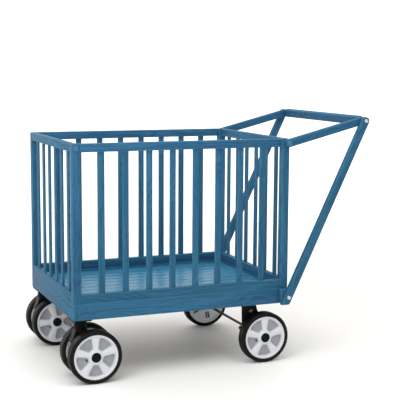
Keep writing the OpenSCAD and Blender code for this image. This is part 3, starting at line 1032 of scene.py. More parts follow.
def split_box(node: str, count: int, axis: int, width: float) -> list[tuple[Vector, Vector]]:
    """Splits a CAD node's box into equal boards, evenly spread along one axis.

    Args:
        node: The CAD node.
        count: Number of boards.
        axis: The axis across which they are spread.
        width: Each board's size along that axis.

    Returns:
        Each board's lowest and highest corner.
    """
    low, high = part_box(node)
    boxes = []
    for i in range(count):
        first, last = low.copy(), high.copy()
        first[axis] = low[axis] + (high[axis] - low[axis] - width) * i / (count - 1)
        last[axis] = first[axis] + width
        boxes.append((first, last))
    return boxes


@dataclass
class Tray:
    """The shallow boarded tray.

    Attributes:
        shop: The shared finishes and trees.
        planks: Number of floorboards.
        plank_gap: Gap between two floorboards.
        batten: Width of a batten under the floor.
        batten_step: Distance from the first batten to the second.
    """

    shop: Workshop
    planks: int = 10
    plank_gap: float = 2.0 * MM
    batten: float = 70.0 * MM
    batten_step: float = 345.0 * MM

    def build(self) -> None:
        """Builds the boards, the battens and the floor."""
        timber = Timber(self.shop)
        for node in ("apron_near", "apron_far"):
            timber.board(node, X, Z)
        for node in ("apron_front", "apron_rear"):
            timber.board(node, Y, Z)
        self._battens(timber)
        self._floor()

    def _battens(self, timber: Timber) -> None:
        """Builds the three battens under the floor: one at each end and one between them."""
        low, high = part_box("floor_battens")
        width = self.batten
        middle = low.x + self.batten_step
        starts = (low.x, middle, high.x - width)
        boxes = [(Vector((x, low.y, low.z)), Vector((x + width, high.y, high.z))) for x in starts]
        timber.boards("floor_battens", boxes, Y, X)

    def _floor(self) -> None:
        """Lays the floorboards with the bar tree."""
        low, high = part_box("floor_boards")
        pitch = (high.y - low.y + self.plank_gap) / self.planks
        mesh = self.shop.bar_row.run({
            "Count": self.planks, "Round": 1.2 * MM, "Material": self.shop.finishes.floor,
            "First": (low.x, low.y + (pitch - self.plank_gap) / 2, (low.z + high.z) / 2),
            "Step": (0.0, pitch, 0.0), "Turn": (math.pi / 2, 0.0, math.pi / 2),
            "Length": high.x - low.x, "Width": pitch - self.plank_gap, "Thickness": high.z - low.z})
        self.shop.add_wood("floor_boards", mesh, X, Y)


@dataclass
class Cage:
    """Posts, rails and slats.

    Attributes:
        shop: The shared finishes and trees.
        slat: Width of a slat.
        long_count: Slats in a long side.
        end_count: Slats in an end.
    """

    shop: Workshop
    slat: float = 22.0 * MM
    long_count: int = 8
    end_count: int = 6

    def build(self) -> None:
        """Builds the whole cage."""
        timber = Timber(self.shop, soft=2.2 * MM)
        for node in ("post_front_near", "post_front_far", "post_rear_near", "post_rear_far"):
            timber.board(node, Z, X)
        rails = Timber(self.shop)
        for node in ("rail_top_near", "rail_top_far"):
            rails.board(node, X, Z)
        for node in ("rail_top_front", "rail_top_rear"):
            rails.board(node, Y, Z)
        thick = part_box("rail_top_near")[1].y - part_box("rail_top_near")[0].y
        rails.boards("rails_low_side", split_box("rails_low_side", 2, 1, thick), X, Z)
        rails.boards("rails_low_end", split_box("rails_low_end", 2, 0, thick), Y, Z)
        for node in ("slats_near", "slats_far"):
            self._slats(node, self.long_count, 0)
        for node in ("slats_front", "slats_rear"):
            self._slats(node, self.end_count, 1)
        self._buttons()

    def _slats(self, node: str, count: int, axis: int) -> None:
        """Sets a row of slats between two rails with the bar tree.

        Args:
            node: The CAD node that the row stands for.
            count: Number of slats.
            axis: The axis along which they follow each other.
        """
        low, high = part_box(node)
        pitch = (high[axis] - low[axis] - self.slat) / (count - 1)
        first, step = (low + high) / 2, Vector()
        first[axis] = low[axis] + self.slat / 2
        first.z = low.z
        step[axis] = pitch
        mesh = self.shop.bar_row.run({
            "Count": count, "Round": 2.4 * MM, "Material": self.shop.finishes.wood,
            "First": first[:], "Step": step[:], "Turn": (0.0, 0.0, axis * math.pi / 2),
            "Length": high.z - low.z, "Width": self.slat,
            "Thickness": high[1 - axis] - low[1 - axis]})
        self.shop.add_wood(node, mesh, Z, (X, Y)[axis])

    def _buttons(self) -> None:
        """Sets the painted button heads on the posts and upper bars."""
        low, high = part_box("button_screws")
        radius, z = (high.z - low.z) / 2, (low.z + high.z) / 2
        rise = high.y - face_y("handle_upper_far", Side.FAR)
        places = []
        for x, carrier in ((low.x + radius, "post_front_"), (high.x - radius, "handle_upper_")):
            for side in Side:
                foot = Vector((x, face_y(carrier + side.word, side), z))
                places.append((foot, Y * side.value))
        head = lathe([(0, -1 * MM), (radius - 0.4 * MM, -1 * MM), (radius, 0.2 * MM),
                      (radius - 0.1 * MM, rise * 0.35), (radius - 1.2 * MM, rise * 0.75),
                      (radius - 3.2 * MM, rise * 0.97), (radius * 0.42, rise),
                      (radius * 0.36, rise * 0.8), (0, rise * 0.78)], Matrix(), 48)
        mesh = self.shop.set_heads(head, places, self.shop.finishes.screw, 3)
        add_piece("button_heads", mesh, self.shop.finishes.screw, TROLLEY,
                  ["button_screws"], 40)


@dataclass
class PushHandle:
    """The bolted triangular push handle.

    Attributes:
        shop: The shared finishes and trees.
        bar: Width of a handle bar.
        bolt_flange: Radius of a bolt's washer face.
    """

    shop: Workshop
    bar: float = 28.0 * MM
    bolt_flange: float = 7.4 * MM

    def build(self) -> None:
        """Builds the bars, the grip, the spacers and the bolts."""
        timber = Timber(self.shop, soft=2.4 * MM)
        bolts = {side: self._side(timber, side) for side in Side}
        upper, grip, _ = bolts[Side.NEAR]
        self._grip(grip - upper)
        self._spacers()
        self._bolts(bolts)

    def _side(self, timber: Timber, side: Side) -> tuple[Vector, Vector, Vector]:
        """Builds one side's two bars.

        Args:
            timber: Makes the bars.
            side: Which side.

        Returns:
            The upper bolt's place in its bar, and the grip and lower bolts' places on the
            diagonal's outer face.
        """
        low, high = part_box("handle_upper_" + side.word)
        thick, mid = high.y - low.y, (low.y + high.y) / 2
        radius = self.bar / 2
        upper = Vector((low.x + radius, mid, low.z + radius))
        grip = Vector((high.x - radius, mid, high.z - radius))
        timber.bar("handle_upper_" + side.word, upper, grip, Y, self.bar, thick, None)
        outer_low, outer_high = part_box("handle_diag_" + side.word)
        shift = Y * ((outer_low.y + outer_high.y) / 2 - mid)
        lower = self._lower_bolt(grip)
        timber.bar("handle_diag_" + side.word, lower + shift, grip + shift, Y, self.bar, thick,
                   outer_low.z)
        face = Y * (face_y("handle_diag_" + side.word, side) - mid)
        return upper, grip + face, lower + face

    @staticmethod
    def _lower_bolt(grip: Vector) -> Vector:
        """Returns the lower bolt's place, which the bolts' own box gives."""
        low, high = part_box("handle_bolts")
        head = high.z - grip.z
        return Vector((low.x + head, grip.y, low.z + head))

    def _grip(self, rise: Vector) -> None:
        """Builds the cross bar that is held, its corners well rounded.

        Args:
            rise: From an upper bar's lower bolt to its upper one. The cross bar leans as it does.
        """
        low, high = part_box("handle_grip")
        along = Vector((rise.x, 0.0, rise.z)).normalized()
        up = along.cross(Y)
        size, centre = high - low, (low + high) / 2
        c, s = along.x, abs(along.z)
        width = (size.x * c - size.z * s) / (c * c - s * s)
        height = (size.z * c - size.x * s) / (c * c - s * s)
        mesh = prism(rectangle(size.y, height), width, 4.0 * MM, basis(centre, Y, up), 4)
        self.shop.add_wood("handle_grip", mesh, Y, up)

    def _spacers(self) -> None:
        """Builds the two blocks between the diagonals and the tray."""
        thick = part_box("handle_upper_near")[1].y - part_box("handle_upper_near")[0].y
        boxes = split_box("handle_spacers", 2, 1, thick)
        Timber(self.shop).boards("handle_spacers", boxes, Z, X)

    def _bolts(self, bolts: dict[Side, tuple[Vector, Vector, Vector]]) -> None:
        """Sets the bright domed bolt heads."""
        rise = bolts[Side.NEAR][1].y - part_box("handle_bolts")[0].y
        r = self.bolt_flange
        dome = [(r * math.cos(t), rise * (0.12 + 0.88 * math.sin(t)))
                for t in [math.pi / 2 * i / 10 for i in range(10)]]
        head = lathe([(0, -1 * MM), (r, -1 * MM), *dome, (0, rise)], Matrix(), 48)
        places = [(place, Y * side.value) for side in Side for place in bolts[side][1:]]
        mesh = self.shop.set_heads(head, places, self.shop.finishes.steel, 5)
        add_piece("handle_bolt_heads", mesh, self.shop.finishes.steel, TROLLEY,
                  ["handle_bolts"], 50)


# ---------------------------------------------------------------- wheels


@dataclass
class Wheel:
    """One wheel: tyre, tread, spoked rim and hub cap.

    Attributes:
        shop: The shared finishes and trees.
        name: The ending of its nodes' names, such as front_a.
        outside: The way that its spoked face looks.
        spin: The angle of one spoke above the ground line, in degrees.
        spokes: Number of spokes.
        radius: The CAD tyre's outer radius. The tread stays just inside it.
        rim: Radius on which the tyre sits.
        hub: Radius of the ring round the hub cap.
        pocket: Depth of the pockets between the spokes.
        blocks: Tread blocks round the tyre.
        crown: How far a spoke's face falls to its sides.
        dish: How far the rim's back lies inside the tyre.
        slot_depth: Depth of the slots in the rim's back.
        place: The matrix from the wheel's own frame to the trolley's.
        width: The tyre's width.
    """

    shop: Workshop
    name: str
    outside: Side
    spin: float = 90.0
    spokes: int = 5
    radius: float = 92.0 * MM
    rim: float = 78.0 * MM
    hub: float = 23.0 * MM
    pocket: float = 9.5 * MM
    blocks: int = 60
    crown: float = 2.2 * MM
    dish: float = 8.0 * MM
    slot_depth: float = 13.0 * MM
    place: Matrix = field(init=False)
    width: float = field(init=False)

    def __post_init__(self) -> None:
        """Reads the wheel's width and place: local Z runs inwards from the tyre's outer side."""
        low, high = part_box("tyre_" + self.name)
        centre = PIVOTS["roll_" + self.name].copy()
        self.width = high.y - low.y
        centre.y = face_y("tyre_" + self.name, self.outside)
        self.place = basis(centre, X, Z * self.outside.value)

    @property
    def body(self) -> str:
        """The CAD body that the wheel rides on."""
        return "wheel_" + self.name

    def build(self) -> None:
        """Builds all of the wheel."""
        self._tyre()
        self._tread()
        self._rim()
        self._cap()

    def _tyre(self) -> None:
        """Turns the tyre, whose walls carry a raised ring."""
        w, base = self.width, self.radius - 1.1 * MM
        wall = [(self.rim + 0.1 * MM, 2.6), (self.rim + 1.2 * MM, 1.5), (self.rim + 3.0 * MM, 0.7),
                (self.rim + 3.6 * MM, 0.1), (self.rim + 5.2 * MM, 0.1), (self.rim + 5.8 * MM, 0.6),
                (self.rim + 8.6 * MM, 0.9), (self.rim + 10.8 * MM, 2.2), (self.rim + 12.2 * MM, 4.2),
                (base, 6.8)]
        outer = [(r, h * MM) for r, h in wall]
        inner = [(r, w - h * MM) for r, h in reversed(wall)]
        middle = [(base, w * t) for t in (0.35, 0.5, 0.65)]
        mesh = lathe([*outer, *middle, *inner], self.place, 128)
        add_piece("tyre_wall_" + self.name, mesh, self.shop.finishes.tyre, self.body,
                  ["tyre_" + self.name], 40)

    def _tread(self) -> None:
        """Sets the tread's blocks, two narrow rows between two wide ones."""
        rows = []
        for width, offset, share in ((4.6 * MM, 3.1 * MM, 0.86), (8.4 * MM, 11.2 * MM, 0.8)):
            mesh = self.shop.tread.run({
                "Count": self.blocks, "Radius": self.radius - 0.1 * MM, "Height": 2.0 * MM,
                "Length": 2 * math.pi * self.radius / self.blocks * share, "Width": width,
                "Middle": self.width / 2, "Offset": offset,
                "Material": self.shop.finishes.tyre})
            mesh.transform(self.place)
            rows.append(mesh)
        add_piece("tread_" + self.name, joined(rows), self.shop.finishes.tyre, self.body)

    def aside(self, radius: float, angle: float) -> float:
        """Returns a place's distance from the middle line of the nearest spoke."""
        step = 2 * math.pi / self.spokes
        turn = (angle - math.radians(self.spin) + step / 2) % step - step / 2
        return radius * math.sin(abs(turn))

    def reach(self, radius: float) -> float:
        """Returns how far out a radius lies: 0 at the hub's ring, 1 at the tyre."""
        return (radius - self.hub) / (self.rim - self.hub)

    def pocket_share(self, radius: float, angle: float) -> float:
        """Returns how deep the rim's face is at a place: 0 on a spoke, 1 on a pocket's floor."""
        half_spoke = (7.6 + 7.8 * self.reach(radius)) * MM
        sides = [self.aside(radius, angle) - half_spoke, radius - self.hub - 3.5 * MM,
                 self.rim - 9.5 * MM - radius]
        soft = 2.2 * MM
        least = min(sides)
        total = sum(math.exp(-(side - least) / soft) for side in sides)
        edge = least - soft * math.log(total)
        return eased((edge + 1.0 * MM) / (5.0 * MM))

    def crown_share(self, radius: float, angle: float) -> float:
        """Returns how far a spoke's face has fallen at a place: 0 at its crest, 1 at its side."""
        across = self.aside(radius, angle) / ((8.2 + 7.0 * self.reach(radius)) * MM)
        return min(across, 1.0) ** 2 * min(1.0, max(0.0, self.reach(radius) * 8))

    def slot_share(self, radius: float, angle: float) -> float:
        """Returns how deep the rim's back is at a place: 1 inside the twin slots of a spoke."""
        aside = self.aside(radius, angle)
        least = min(8.5 * MM - aside, aside - 1.2 * MM, radius - 34 * MM, 60 * MM - radius)
        return eased(least / (1.6 * MM))

    def _rim(self) -> None:
        """Turns the rim and sinks the pockets between its spokes."""
        w, rim, hub = self.width, self.rim, self.hub
        face = [(hub + (rim - 8 * MM - hub) * i / 26, (4.4 + 0.6 * math.sin(math.pi * i / 26)) * MM)
                for i in range(27)]
        front = [(5.2, 8.4), (15.8, 8.4), (15.8, 3.4), (16.2, 2.9), (17.4, 2.5), (21.6, 2.5), (22.6, 3.1)]
        lip = [(rim - 6.6 * MM, 3.4 * MM), (rim - 5.4 * MM, 2.7 * MM), (rim - 1.6 * MM, 2.5 * MM),
               (rim - 0.5 * MM, 3.0 * MM), (rim, 4.2 * MM)]
        flat, steps = w - self.dish, 22
        back = [(rim, w - 4.2 * MM), (rim - 0.6 * MM, w - 2.8 * MM), (rim - 4.5 * MM, w - 2.5 * MM),
                (rim - 6.0 * MM, w - 3.6 * MM), (rim - 8.0 * MM, flat + 0.8 * MM),
                *[(rim - 9 * MM + (hub + 2 * MM - rim) * i / steps, flat) for i in range(steps + 1)],
                (hub - 7.4 * MM, flat + 0.4 * MM), (hub - 8 * MM, w + 0.6 * MM),
                (hub - 8.6 * MM, w + 1.0 * MM), (5.2 * MM, w + 1.0 * MM)]
        profile = [*[(r * MM, h * MM) for r, h in front], *face, *lip, *back]
        highest_face = 5.5 * MM

        def lift(radius: float, height: float, angle: float) -> float:
            """Sinks the face between the spokes, and the slots in the back."""
            if not hub <= radius <= rim - 8 * MM:
                return 0.0
            turn = self._world_angle(angle)
            if abs(height - flat) < 0.01 * MM:
                return -self.slot_depth * self.slot_share(radius, turn)
            if height > highest_face:
                return 0.0
            return self.crown * self.crown_share(radius, turn) + self.pocket * self.pocket_share(radius, turn)

        mesh = lathe(profile, self.place, 220, lift)
        self._mark_recess(mesh)
        add_piece("rim_face_" + self.name, mesh, self.shop.finishes.rim, self.body,
                  ["rim_" + self.name], 50)

    def _world_angle(self, angle: float) -> float:
        """Returns the angle above the ground line of a local angle, seen from the near side."""
        way = self.place.to_3x3() @ Vector((math.cos(angle), math.sin(angle), 0.0))
        return math.atan2(way.z, way.x)

    def _mark_recess(self, mesh: bpy.types.Mesh) -> None:
        """Marks the pockets and the slots with how much painted shade darkens the plastic there."""
        lowest_back = 18.5 * MM
        back = self.place.inverted()
        values = []
        for vertex in mesh.vertices:
            local = back @ vertex.co
            radius = math.hypot(local.x, local.y)
            angle = self._world_angle(math.atan2(local.y, local.x))
            if not self.hub < radius < self.rim - 8 * MM:
                values.append(0.0)
            elif local.z < lowest_back:
                values.append(self.pocket_share(radius, angle))
            else:
                values.append(2.5 * self.slot_share(radius, angle))
        # painted shade share: up to 1 on a pocket's floor, up to 2.5 inside the back slots
        mesh.attributes.new("recess", "FLOAT", "POINT").data.foreach_set("value", values)

    def _cap(self) -> None:
        """Turns the dished hub cap and, in one pocket, a small black plug that stands for the shade of a
        small dark hole.
        """
        cap = lathe([(0, 1.6 * MM), (6.4 * MM, 1.6 * MM), (7.4 * MM, 0.5 * MM), (12.6 * MM, 0.3 * MM),
                     (15.6 * MM, 0.9 * MM), (16.9 * MM, 1.9 * MM), (17.0 * MM, 2.4 * MM),
                     (15.5 * MM, 2.6 * MM), (15.5 * MM, 8 * MM), (0, 8 * MM)], self.place, 64)
        # a black plug in one pocket stands in for the shade inside a small hole
        angle = math.radians(self.spin) + math.pi * 3 / self.spokes
        way = Vector((math.cos(angle), 0.0, math.sin(angle)))
        inward = self.place.to_3x3() @ Z
        at = self.place.translation + way * (self.hub + 9.5 * MM) + inward * 11.8 * MM
        hole_shade_plug = lathe([(0, 0), (1.6 * MM, 0), (2.5 * MM, 0.8 * MM), (2.6 * MM, 4 * MM), (0, 4 * MM)],
                     basis(at, way, inward.cross(way)), 20)
        add_piece("hub_cap_" + self.name, joined([cap, hole_shade_plug]), self.shop.finishes.black, self.body,
                  ["cap_" + self.name], 40)


# ---------------------------------------------------------------- castors


@dataclass
class Castor:
    """A twin-wheel castor under a front corner.

    Attributes:
        shop: The shared finishes and trees.
        side: Which corner.
        plate: Thickness of the mounting plate.
        neck: Radius of the socket between its ribs.
        rib: How far a rib stands out.
        rib_pitch: Distance from rib to rib.
        cheek: Half the fork's thickness.
        swivel: A point on the swivel's upright axis.
        wheels: Its wheels, the near one first.
        spins: The angle of one spoke of each.
    """

    shop: Workshop
    side: Side
    plate: float = 5.0 * MM
    neck: float = 21.0 * MM
    rib: float = 2.0 * MM
    rib_pitch: float = 6.0 * MM
    cheek: float = 20.0 * MM
    swivel: Vector = field(init=False)
    wheels: tuple[str, str] = field(init=False)
    spins: tuple[float, float] = field(init=False)

    def __post_init__(self) -> None:
        """Reads the swivel's upright axis, and which wheels the castor has."""
        self.swivel = PIVOTS["swivel_" + self.side.word]
        near = self.side is Side.NEAR
        self.wheels = ("front_a", "front_b") if near else ("front_c", "front_d")
        self.spins = (90.0, 60.0) if near else (108.0, 75.0)

    def build(self) -> None:
        """Builds the socket, the fork, the axle's finish and both wheels."""
        self._socket()
        self._fork()
        refinish("castor_axle_" + self.side.word, self.shop.finishes.dark_steel)
        for name, spin, outside in zip(self.wheels, self.spins, Side):
            Wheel(self.shop, name, outside, spin).build()

    def _ribbed(self, low: float, high: float, axis: Vector) -> bpy.types.Mesh:
        """Turns an upright neck with rounded ribs between two heights."""
        profile = [(0.0, low), (self.neck - 1 * MM, low)]
        count = max(1, round((high - low) / self.rib_pitch))
        pitch = (high - low) / count
        for i in range(count):
            start = low + i * pitch
            profile += [(self.neck + self.rib * s, start + pitch * t)
                        for t, s in ((0.08, 0.1), (0.16, 0.75), (0.26, 1), (0.5, 1), (0.6, 0.75), (0.68, 0.1),
                                     (0.8, 0.0))]
        profile += [(self.neck - 1 * MM, high), (0.0, high)]
        return lathe(profile, Matrix.Translation(Vector((axis.x, axis.y, 0.0))), 64)

    def _socket(self) -> None:
        """Builds the plate and the ribbed socket as one moulding."""
        low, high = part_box("castor_socket_" + self.side.word)
        centre = Vector(((low.x + high.x) / 2, (low.y + high.y) / 2, high.z - self.plate / 2))
        square = rounded_outline(rectangle(high.x - low.x, high.y - low.y), 8 * MM)
        plate = prism(square, self.plate, 1.2 * MM, basis(centre, X, Y))
        neck = self._ribbed(low.z, high.z - self.plate + 1 * MM, self.swivel)
        add_piece("socket_" + self.side.word, joined([plate, neck]), self.shop.finishes.black, TROLLEY,
                  ["castor_socket_" + self.side.word], 40)

    def _fork(self) -> None:
        """Melts the head, the cheeks and the axle boss into one moulding."""
        low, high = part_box("castor_fork_" + self.side.word)
        hub = PIVOTS["roll_" + self.wheels[0]]
        play = 0.5 * MM
        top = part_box("castor_socket_" + self.side.word)[0].z - play
        x, z = self.swivel.x, hub.z
        corners = [(x - 21 * MM, top - 4 * MM), (x - 30 * MM, z + 60 * MM), (low.x, z + 48 * MM),
                   (x - 30 * MM, z + 36 * MM), (hub.x - 12 * MM, z - 13 * MM), (hub.x + 11 * MM, z - 13 * MM),
                   (hub.x + 14 * MM, z + 10 * MM), (x + 21 * MM, top - 4 * MM)]
        outline = [(px - x, pz) for px, pz in rounded_outline(corners, 8 * MM)]
        middle = Vector((x, self.swivel.y, 0.0))
        cheeks = prism(outline, 2 * self.cheek, 4.5 * MM, basis(middle, X, Z))
        head = self._ribbed(top - 17 * MM, top, self.swivel)
        reach = (high.y - low.y) / 2
        boss_profile = [(0, -reach), (12 * MM, -reach), (14.5 * MM, -reach + 2 * MM),
                        (15 * MM, -reach + 5 * MM), (15 * MM, reach - 5 * MM),
                        (14.5 * MM, reach - 2 * MM), (12 * MM, reach), (0, reach)]
        boss = lathe(boss_profile, basis(Vector((hub.x, self.swivel.y, z)), X, -Z), 48)
        mesh = moulded([cheeks, head, boss], 1.1 * MM)
        add_piece("fork_" + self.side.word, mesh, self.shop.finishes.black, "swivel_" + self.side.word,
                  ["castor_fork_" + self.side.word], 60)


# ---------------------------------------------------------------- rear axle


@dataclass
class RearEnd:
    """One side's bracket and wheel.

    Attributes:
        shop: The shared finishes and trees.
        side: Which side.
        plate: Thickness of the mounting plate.
        leg: Thickness of the bracket's leg.
        leg_length: How far the leg reaches along the trolley at its top.
        ear: Radius of the round ear on the leg's front edge.
        ear_rise: Height of the ear above the axle.
        rib: Height of the ribs between the plate and the leg.
    """

    shop: Workshop
    side: Side
    plate: float = 5.0 * MM
    leg: float = 10.0 * MM
    leg_length: float = 58.0 * MM
    ear: float = 7.5 * MM
    ear_rise: float = 31.0 * MM
    rib: float = 36.0 * MM

    def build(self) -> None:
        """Builds the bracket and the wheel."""
        self._bracket()
        spin = 90.0 if self.side is Side.NEAR else 65.0
        Wheel(self.shop, "rear_" + self.side.word, self.side, spin).build()

    def _bracket(self) -> None:
        """Melts the plate, the ribbed leg, its ear and the axle boss into one moulding."""
        low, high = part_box("bracket_" + self.side.word)
        hub = PIVOTS["roll_rear_" + self.side.word]
        r_low, r_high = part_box("bracket_rivets")
        rivet = (r_low + r_high) / 2
        inward = -self.side.value
        outer = face_y("bracket_" + self.side.word, self.side)
        middle, top = outer + inward * self.leg / 2, high.z
        left = low.x + self.ear + 1 * MM
        right = left + self.leg_length
        corners = [(left, top - 2 * MM), (left + 2 * MM, hub.z + self.ear_rise),
                   (left + 12 * MM, hub.z + 17 * MM), (hub.x - 16 * MM, hub.z - 16 * MM),
                   (hub.x, hub.z - 20 * MM), (hub.x + 18 * MM, hub.z - 8 * MM),
                   (hub.x + 20 * MM, hub.z + 10 * MM), (right + 4 * MM, rivet.z),
                   (right - 5 * MM, top - 2 * MM)]
        leg = prism(rounded_outline(corners, 7 * MM), self.leg, 2.2 * MM,
                    basis(Vector((0, middle, 0)), X, Z))
        centre = Vector(((left + right) / 2, (low.y + high.y) / 2, top - self.plate / 2))
        plate = prism(rounded_outline(rectangle(right - left, high.y - low.y), 5 * MM),
                      self.plate, 1.2 * MM, basis(centre, X, Y))
        parts = [leg, plate]
        for x in (left + 8 * MM, right - 10 * MM):
            parts.append(prism([(0, 0), (self.rib, 0), (0, -self.rib)], 4 * MM, 1.0 * MM,
                               basis(Vector((x, middle, top - self.plate / 2)), Y * inward, Z)))
        soft = 1.2 * MM
        for at, radius, reach in (
                (Vector((hub.x, outer, hub.z)), 12 * MM, 24 * MM),
                (Vector((left - 1 * MM, outer, hub.z + self.ear_rise)), self.ear, 14 * MM),
                (Vector((rivet.x, outer + inward * 2 * MM, rivet.z)), 10 * MM, 10 * MM)):
            profile = [(0, 0), (radius - soft, 0), (radius, soft), (radius, reach - soft),
                       (radius - soft, reach), (0, reach)]
            parts.append(lathe(profile, basis(at, X, Z * self.side.value), 40))
        add_piece("hanger_" + self.side.word, moulded(parts, 1.1 * MM), self.shop.finishes.black, TROLLEY,
                  ["bracket_" + self.side.word], 60)


@dataclass
class SmallHardware:
    """Plate screws, rivets and the rear axle.

    Attributes:
        shop: The shared finishes and trees.
        head: Radius of a plate screw's head.
        plate: Thickness of the plates that the screws hold.
        inset: How far a castor's screws stand in from its plate's edges.
        bracket_x: Where a bracket's screws stand behind its front edge.
        bracket_y: Where they stand outwards from its inner edge.
    """

    shop: Workshop
    head: float = 4.5 * MM
    plate: float = 5.0 * MM
    inset: float = 8.0 * MM
    bracket_x: tuple[float, float] = (18.5 * MM, 56.5 * MM)
    bracket_y: tuple[float, float] = (11.0 * MM, 37.0 * MM)

    def build(self) -> None:
        """Builds the screws and gives the CAD rivets and axle their finish."""
        refinish("rear_axle", self.shop.finishes.dark_steel)
        refinish("bracket_rivets", self.shop.finishes.dull_steel)
        places = [(place, -Z) for place in self._places()]
        mesh = self.shop.set_heads(self._screw(), places, self.shop.finishes.steel, 11)
        add_piece("plate_screw_heads", mesh, self.shop.finishes.steel, TROLLEY,
                  ["plate_screws"], 40)

    def _screw(self) -> bpy.types.Mesh:
        """Makes a pan head with a cross recess."""
        r = self.head
        rings = [(r * t, 2.35 * MM) for t in (0.62, 0.5, 0.4, 0.3, 0.2, 0.12)]

        def cross(radius: float, height: float, angle: float) -> float:
            """Sinks a cross into the middle of the head."""
            arm = min(abs(math.sin(angle)), abs(math.cos(angle))) * radius
            inside = height > 2.3 * MM and arm < 0.5 * MM and radius < r * 0.55
            return -1.1 * MM if inside else 0.0

        return lathe([(0, -1 * MM), (r, -1 * MM), (r, 0.4 * MM), (r * 0.93, 1.3 * MM),
                      (r * 0.78, 2.0 * MM), *rings, (0, 1.3 * MM)], Matrix(), 48, cross)

    def _places(self) -> list[Vector]:
        """Returns the screws' feet: four under each castor plate and each bracket plate."""
        spots = []
        for side in Side:
            low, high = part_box("castor_socket_" + side.word)
            foot = high.z - self.plate
            spots += [Vector((x, y, foot)) for x in (low.x + self.inset, high.x - self.inset)
                      for y in (low.y + self.inset, high.y - self.inset)]
            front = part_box("bracket_" + side.word)[0].x
            inner = face_y("bracket_" + side.word, Side(-side.value))
            spots += [Vector((front + x, inner + side.value * y, foot)) for x in self.bracket_x
                      for y in self.bracket_y]
        return spots


# ---------------------------------------------------------------- studio


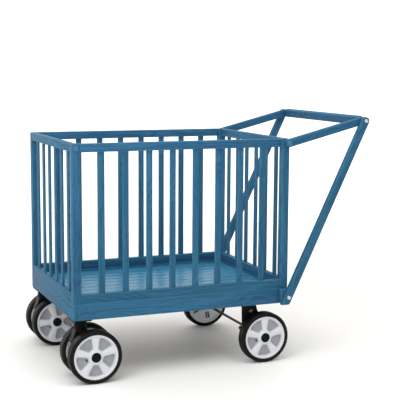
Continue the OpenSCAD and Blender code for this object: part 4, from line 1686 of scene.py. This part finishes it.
@dataclass
class Studio:
    """Floor, light and camera.

    Attributes:
        lens: Focal length on a 36 mm wide sensor, in millimetres.
        azimuth: How far the camera stands round from the near side, in degrees.
        elevation: How far it looks down, in degrees.
        roll: How far it is tilted, in degrees.
        distance: How far it stands from what it looks at.
        aim: What it looks at, from the middle of the CAD box.
        sweep: How far behind the trolley the floor starts to sweep up.
        glow: How strongly the far floor and the sweep glow.
        glow_start: Distance from the trolley at which the glow begins.
        glow_full: Distance at which it is full.
        sky: Strength of the even light from all round.
        backdrop: Strength of the white behind everything, which gives no light.
    """

    lens: float = 94.3
    azimuth: float = -22.23
    elevation: float = 7.59
    roll: float = 0.35
    distance: float = 3.962
    aim: Vector = field(default_factory=lambda: Vector((0.038, 0.0015, 0.1186)))
    sweep: float = 9.0
    glow: float = 0.6
    glow_start: float = 1.2
    glow_full: float = 4.0
    sky: float = 0.70
    backdrop: float = 1.05

    def build(self) -> None:
        """Sets up the whole studio."""
        self._floor()
        self._lights()
        self._camera()
        bpy.context.scene.view_settings.view_transform = "Standard"

    def _floor(self) -> None:
        """Lays a wide pale floor that sweeps up behind the trolley and glows there."""
        bend, wide, wall = 3.0, 40.0, 16.0
        turns = [math.pi / 2 * i / 12 for i in range(13)]
        curve = [(self.sweep + bend * math.sin(t), bend - bend * math.cos(t)) for t in turns]
        shape = bmesh.new()
        rows = [[shape.verts.new((x, y, z)) for x in (-wide, wide)]
                for y, z in ((-wide, 0.0), *curve, (self.sweep + bend, wall))]
        for low, high in zip(rows, rows[1:]):
            shape.faces.new((low[0], low[1], high[1], high[0]))
        mesh = bpy.data.meshes.new("studio_floor")
        shape.to_mesh(mesh)
        shape.free()
        floor = bpy.data.objects.new("studio_floor", mesh)
        bpy.context.scene.collection.objects.link(floor)
        graph = Graph("studio_floor")
        cloud = graph.noise(graph.object_place(), 3.0, 3.0)
        tone = graph.mix(cloud, (0.86, 0.855, 0.845), (0.88, 0.875, 0.865))
        far = graph.node("ShaderNodeVectorMath", {0: graph.object_place()}, operation="LENGTH")
        glow = graph.spread(far.outputs["Value"], self.glow_start, self.glow_full, 0.0, self.glow)
        graph.put(graph.shader.inputs["Emission Color"], (1.0, 1.0, 1.0, 1.0))
        graph.put(graph.shader.inputs["Emission Strength"], glow)
        mesh.materials.append(graph.finish(tone, 0.65))

    def _light(self, name: str, place: Vector, size: float, power: float, colour: Colour) -> None:
        """Hangs a soft square light that looks at the trolley."""
        data = bpy.data.lights.new(name, "AREA")
        data.size, data.energy, data.color = size, power, colour
        lamp = bpy.data.objects.new(name, data)
        lamp.location = place
        lamp.rotation_euler = (Vector((0, 0, 0.4)) - place).to_track_quat("-Z", "Y").to_euler()
        bpy.context.scene.collection.objects.link(lamp)

    def _lights(self) -> None:
        """Hangs a large key light at the left and lights the surroundings evenly."""
        self._light("key", Vector((-3.6, -2.4, 3.8)), 2.8, 85.0, (0.98, 0.993, 1.0))
        self._light("top", Vector((-0.5, -1.4, 4.2)), 3.6, 98.0, (0.98, 0.993, 1.0))
        world = bpy.data.worlds.new("studio")
        world.use_nodes = True
        nodes, links = world.node_tree.nodes, world.node_tree.links
        sky, backdrop = nodes["Background"], nodes.new("ShaderNodeBackground")
        for shader, colour, strength in ((sky, (1.0, 0.97, 0.92, 1.0), self.sky),
                                         (backdrop, (1.0, 1.0, 1.0, 1.0), self.backdrop)):
            shader.inputs["Color"].default_value = colour
            shader.inputs["Strength"].default_value = strength
        seen, mixed = nodes.new("ShaderNodeLightPath"), nodes.new("ShaderNodeMixShader")
        links.new(seen.outputs["Is Camera Ray"], mixed.inputs[0])
        links.new(sky.outputs[0], mixed.inputs[1])
        links.new(backdrop.outputs[0], mixed.inputs[2])
        links.new(mixed.outputs[0], nodes["World Output"].inputs["Surface"])
        bpy.context.scene.world = world

    def _camera(self) -> None:
        """Stands the camera where the trolley is seen from its front near corner."""
        a, e, r = (math.radians(x) for x in (self.azimuth, self.elevation, self.roll))
        back = Vector((math.sin(a) * math.cos(e), -math.cos(a) * math.cos(e), math.sin(e)))
        right = Vector((math.cos(a), math.sin(a), 0.0))
        up = back.cross(right)
        turned = right * math.cos(r) + up * math.sin(r)
        upright = up * math.cos(r) - right * math.sin(r)
        low, high = CAD_BOX
        target = (low + high) / 2 + self.aim
        data = bpy.data.cameras.new("camera")
        data.lens, data.sensor_width = self.lens, 36.0
        camera = bpy.data.objects.new("camera", data)
        bpy.context.scene.collection.objects.link(camera)
        turn = Matrix((turned, upright, back)).transposed().to_4x4()
        camera.matrix_world = Matrix.Translation(target + back * self.distance) @ turn
        bpy.context.scene.camera = camera


def main() -> None:
    """Builds the trolley and its studio."""
    logging.basicConfig(level=logging.INFO, format="%(name)s: %(message)s")
    shop = Workshop()
    Tray(shop).build()
    Cage(shop).build()
    PushHandle(shop).build()
    for side in Side:
        Castor(shop, side).build()
        RearEnd(shop, side).build()
    SmallHardware(shop).build()
    Studio().build()


if __name__ == "__main__":
    main()
